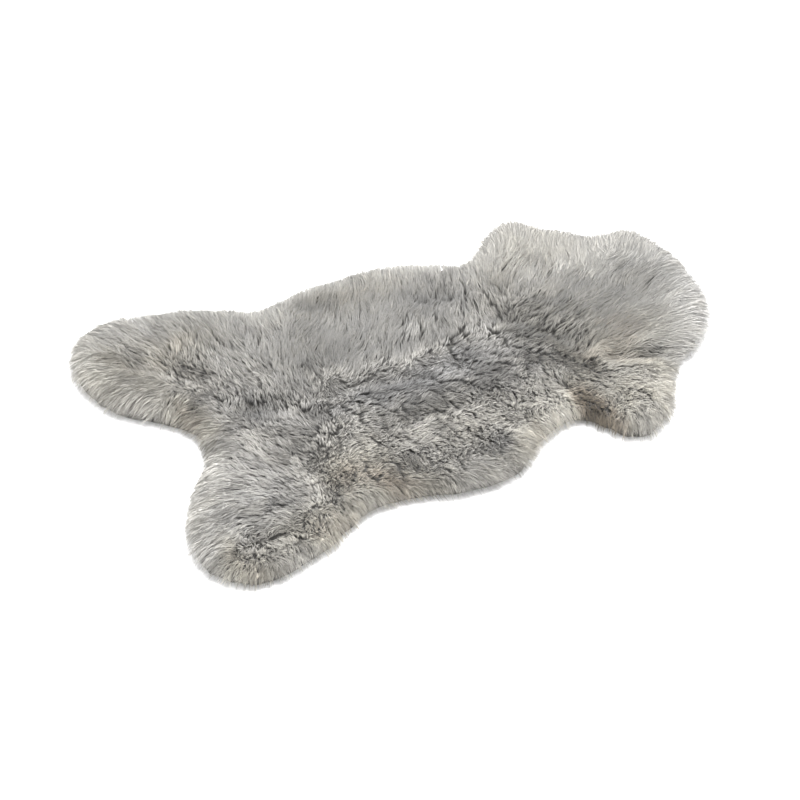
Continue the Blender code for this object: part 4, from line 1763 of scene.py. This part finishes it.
@dataclass(frozen=True)
class DownWool:
    """The undercoat: matted curls, coloured very dark as painted shade down in the pile, and darker
    between them as painted shade.
    """

    dye_and_shade: bpy.types.NodeTree
    curl_scale: float = 260.0
    roughness: float = 0.95
    warmth: float = 0.55
    # Painted shade: the undercoat's lightness between its curls and on their tops.
    deep: float = 0.05
    high: float = 0.17
    relief: float = 2 * MM

    def material(self) -> bpy.types.Material:
        """Make the material.

        Returns:
            The finished material.
        """
        material, shader = new_shader("down wool", self.roughness, 0.0)
        tree = material.node_tree
        place = add_node(tree, "TexCoord")
        curls = add_node(tree, "TexNoise", {"Scale": self.curl_scale, "Detail": 3.0})
        depth = add_node(tree, "MapRange", {"To Min": self.deep, "To Max": self.high})
        bump = add_node(tree, "Bump", {"Strength": 0.6, "Distance": self.relief})
        dye_and_shade = add_node(tree, "Group")
        dye_and_shade.node_tree = self.dye_and_shade
        dye_and_shade.inputs["Warmth"].default_value = self.warmth
        join(
            tree,
            (place, "Object", curls, "Vector"),
            (curls, "Fac", depth, "Value"),
            (depth, "Result", dye_and_shade, "Lightness"),
            (curls, "Fac", bump, "Height"),
            (bump, "Normal", shader, "Normal"),
            (dye_and_shade, "Color", shader, "Base Color"),
        )
        return material


@dataclass(frozen=True)
class Suede:
    """The hide's buffed flesh side: a fine nap over cloudy tones."""

    light: tuple[float, float, float] = (0.68, 0.61, 0.51)
    dark: tuple[float, float, float] = (0.52, 0.45, 0.36)
    tone_span: tuple[float, float] = (0.45, 0.85)
    nap_scale: float = 900.0
    nap_share: float = 0.35
    nap_relief: float = 0.4 * MM
    cloud_scale: float = 14.0
    roughness: float = 0.9
    roughness_span: tuple[float, float] = (0.80, 0.98)
    sheen: float = 0.2

    def material(self) -> bpy.types.Material:
        """Make the material.

        Returns:
            The finished material.
        """
        material, shader = new_shader("suede", self.roughness, self.sheen)
        tree = material.node_tree
        place = add_node(tree, "TexCoord")
        nap = add_node(tree, "TexNoise", {"Scale": self.nap_scale})
        cloud = add_node(tree, "TexNoise", {"Scale": self.cloud_scale, "Detail": 4.0})
        blend = add_node(tree, "Math", {1: self.nap_share})
        blend.operation = "MULTIPLY_ADD"
        tone = add_node(tree, "ValToRGB")
        stops = zip(tone.color_ramp.elements, self.tone_span, (self.dark, self.light))
        for stop, position, color in stops:
            stop.position = position
            stop.color = (*color, 1.0)
        smooth, matt = self.roughness_span
        rough = add_node(tree, "MapRange", {"To Min": smooth, "To Max": matt})
        bump = add_node(tree, "Bump", {"Strength": 0.5, "Distance": self.nap_relief})
        join(
            tree,
            (place, "Object", nap, "Vector"),
            (place, "Object", cloud, "Vector"),
            (nap, "Fac", blend, 0),
            (cloud, "Fac", blend, 2),
            (blend, "Value", tone, "Fac"),
            (tone, "Color", shader, "Base Color"),
            (nap, "Fac", rough, "Value"),
            (rough, "Result", shader, "Roughness"),
            (nap, "Fac", bump, "Height"),
            (bump, "Normal", shader, "Normal"),
        )
        return material


# ---------------------------------------------------------------------------------------------
# The studio
# ---------------------------------------------------------------------------------------------


@dataclass
class Studio:
    """A white floor, soft light from above and the camera."""

    eye: tuple[float, float, float] = (-1.533, -3.192, 3.447)
    target: tuple[float, float, float] = (-0.0447, -0.0291, 0.0)
    lens: float = 135.0
    sensor: float = 36.0
    sky: float = 1.455
    lamp_watts: float = 604.0
    lamp_size: float = 2.6
    lamp_place: tuple[float, float, float] = (0.2, -0.4, 5.5)
    floor_size: float = 30.0
    floor_tone: float = 0.93
    floor_roughness: float = 0.9

    def build(self) -> None:
        """Set up the floor, the light and the camera."""
        self._floor()
        self._light()
        self._camera()

    def _floor(self) -> None:
        """Lay a white floor well past the camera's view."""
        material = bpy.data.materials.new("studio floor")
        material.use_nodes = True
        shader = material.node_tree.nodes["Principled BSDF"]
        shader.inputs["Base Color"].default_value = (*[self.floor_tone] * 3, 1.0)
        shader.inputs["Roughness"].default_value = self.floor_roughness
        shader.inputs["Specular IOR Level"].default_value = 0.0
        bpy.ops.mesh.primitive_plane_add(size=self.floor_size, location=(0.0, 0.0, 0.0))
        floor = bpy.context.object
        floor.name = "studio_floor"
        floor.data.materials.append(material)

    def _light(self) -> None:
        """Light the rug from a white sky and one large soft lamp."""
        world = bpy.data.worlds.new("studio")
        world.use_nodes = True
        sky = world.node_tree.nodes["Background"]
        sky.inputs["Color"].default_value = (1.0, 1.0, 1.0, 1.0)
        sky.inputs["Strength"].default_value = self.sky
        bpy.context.scene.world = world
        data = bpy.data.lights.new("softbox", "AREA")
        data.energy = self.lamp_watts
        data.size = self.lamp_size
        lamp = bpy.data.objects.new("softbox", data)
        lamp.location = self.lamp_place
        lamp.rotation_euler = (-Vector(self.lamp_place)).to_track_quat("-Z", "Y").to_euler()
        bpy.context.scene.collection.objects.link(lamp)

    def _camera(self) -> None:
        """Place the camera."""
        data = bpy.data.cameras.new("camera")
        data.lens = self.lens
        data.sensor_width = self.sensor
        camera = bpy.data.objects.new("camera", data)
        camera.location = self.eye
        aim = Vector(self.target) - Vector(self.eye)
        camera.rotation_euler = aim.to_track_quat("-Z", "Y").to_euler()
        bpy.context.scene.collection.objects.link(camera)
        bpy.context.scene.camera = camera
        bpy.context.scene.view_settings.view_transform = "Standard"


def main() -> None:
    """Build the rug and the studio, and log each piece's triangle count."""
    logging.basicConfig(level=logging.INFO, format="%(message)s")
    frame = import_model()
    pelt = Pelt(frame["nodes"]["fleece"])
    dye_and_shade = fleece_dye_and_shade()
    pieces = Fleece(pelt).build(LockWool(dye_and_shade).material())
    pieces.append(Undercoat(pelt).build(DownWool(dye_and_shade).material()))
    pieces.append(Hide(frame["nodes"]["hide"]).build(Suede().material()))
    for piece in pieces:
        faces = sum(len(polygon.vertices) - 2 for polygon in piece.data.polygons)
        log.info("%s: %d triangles", piece.name, faces)
    Studio().build()


if __name__ == "__main__":
    main()
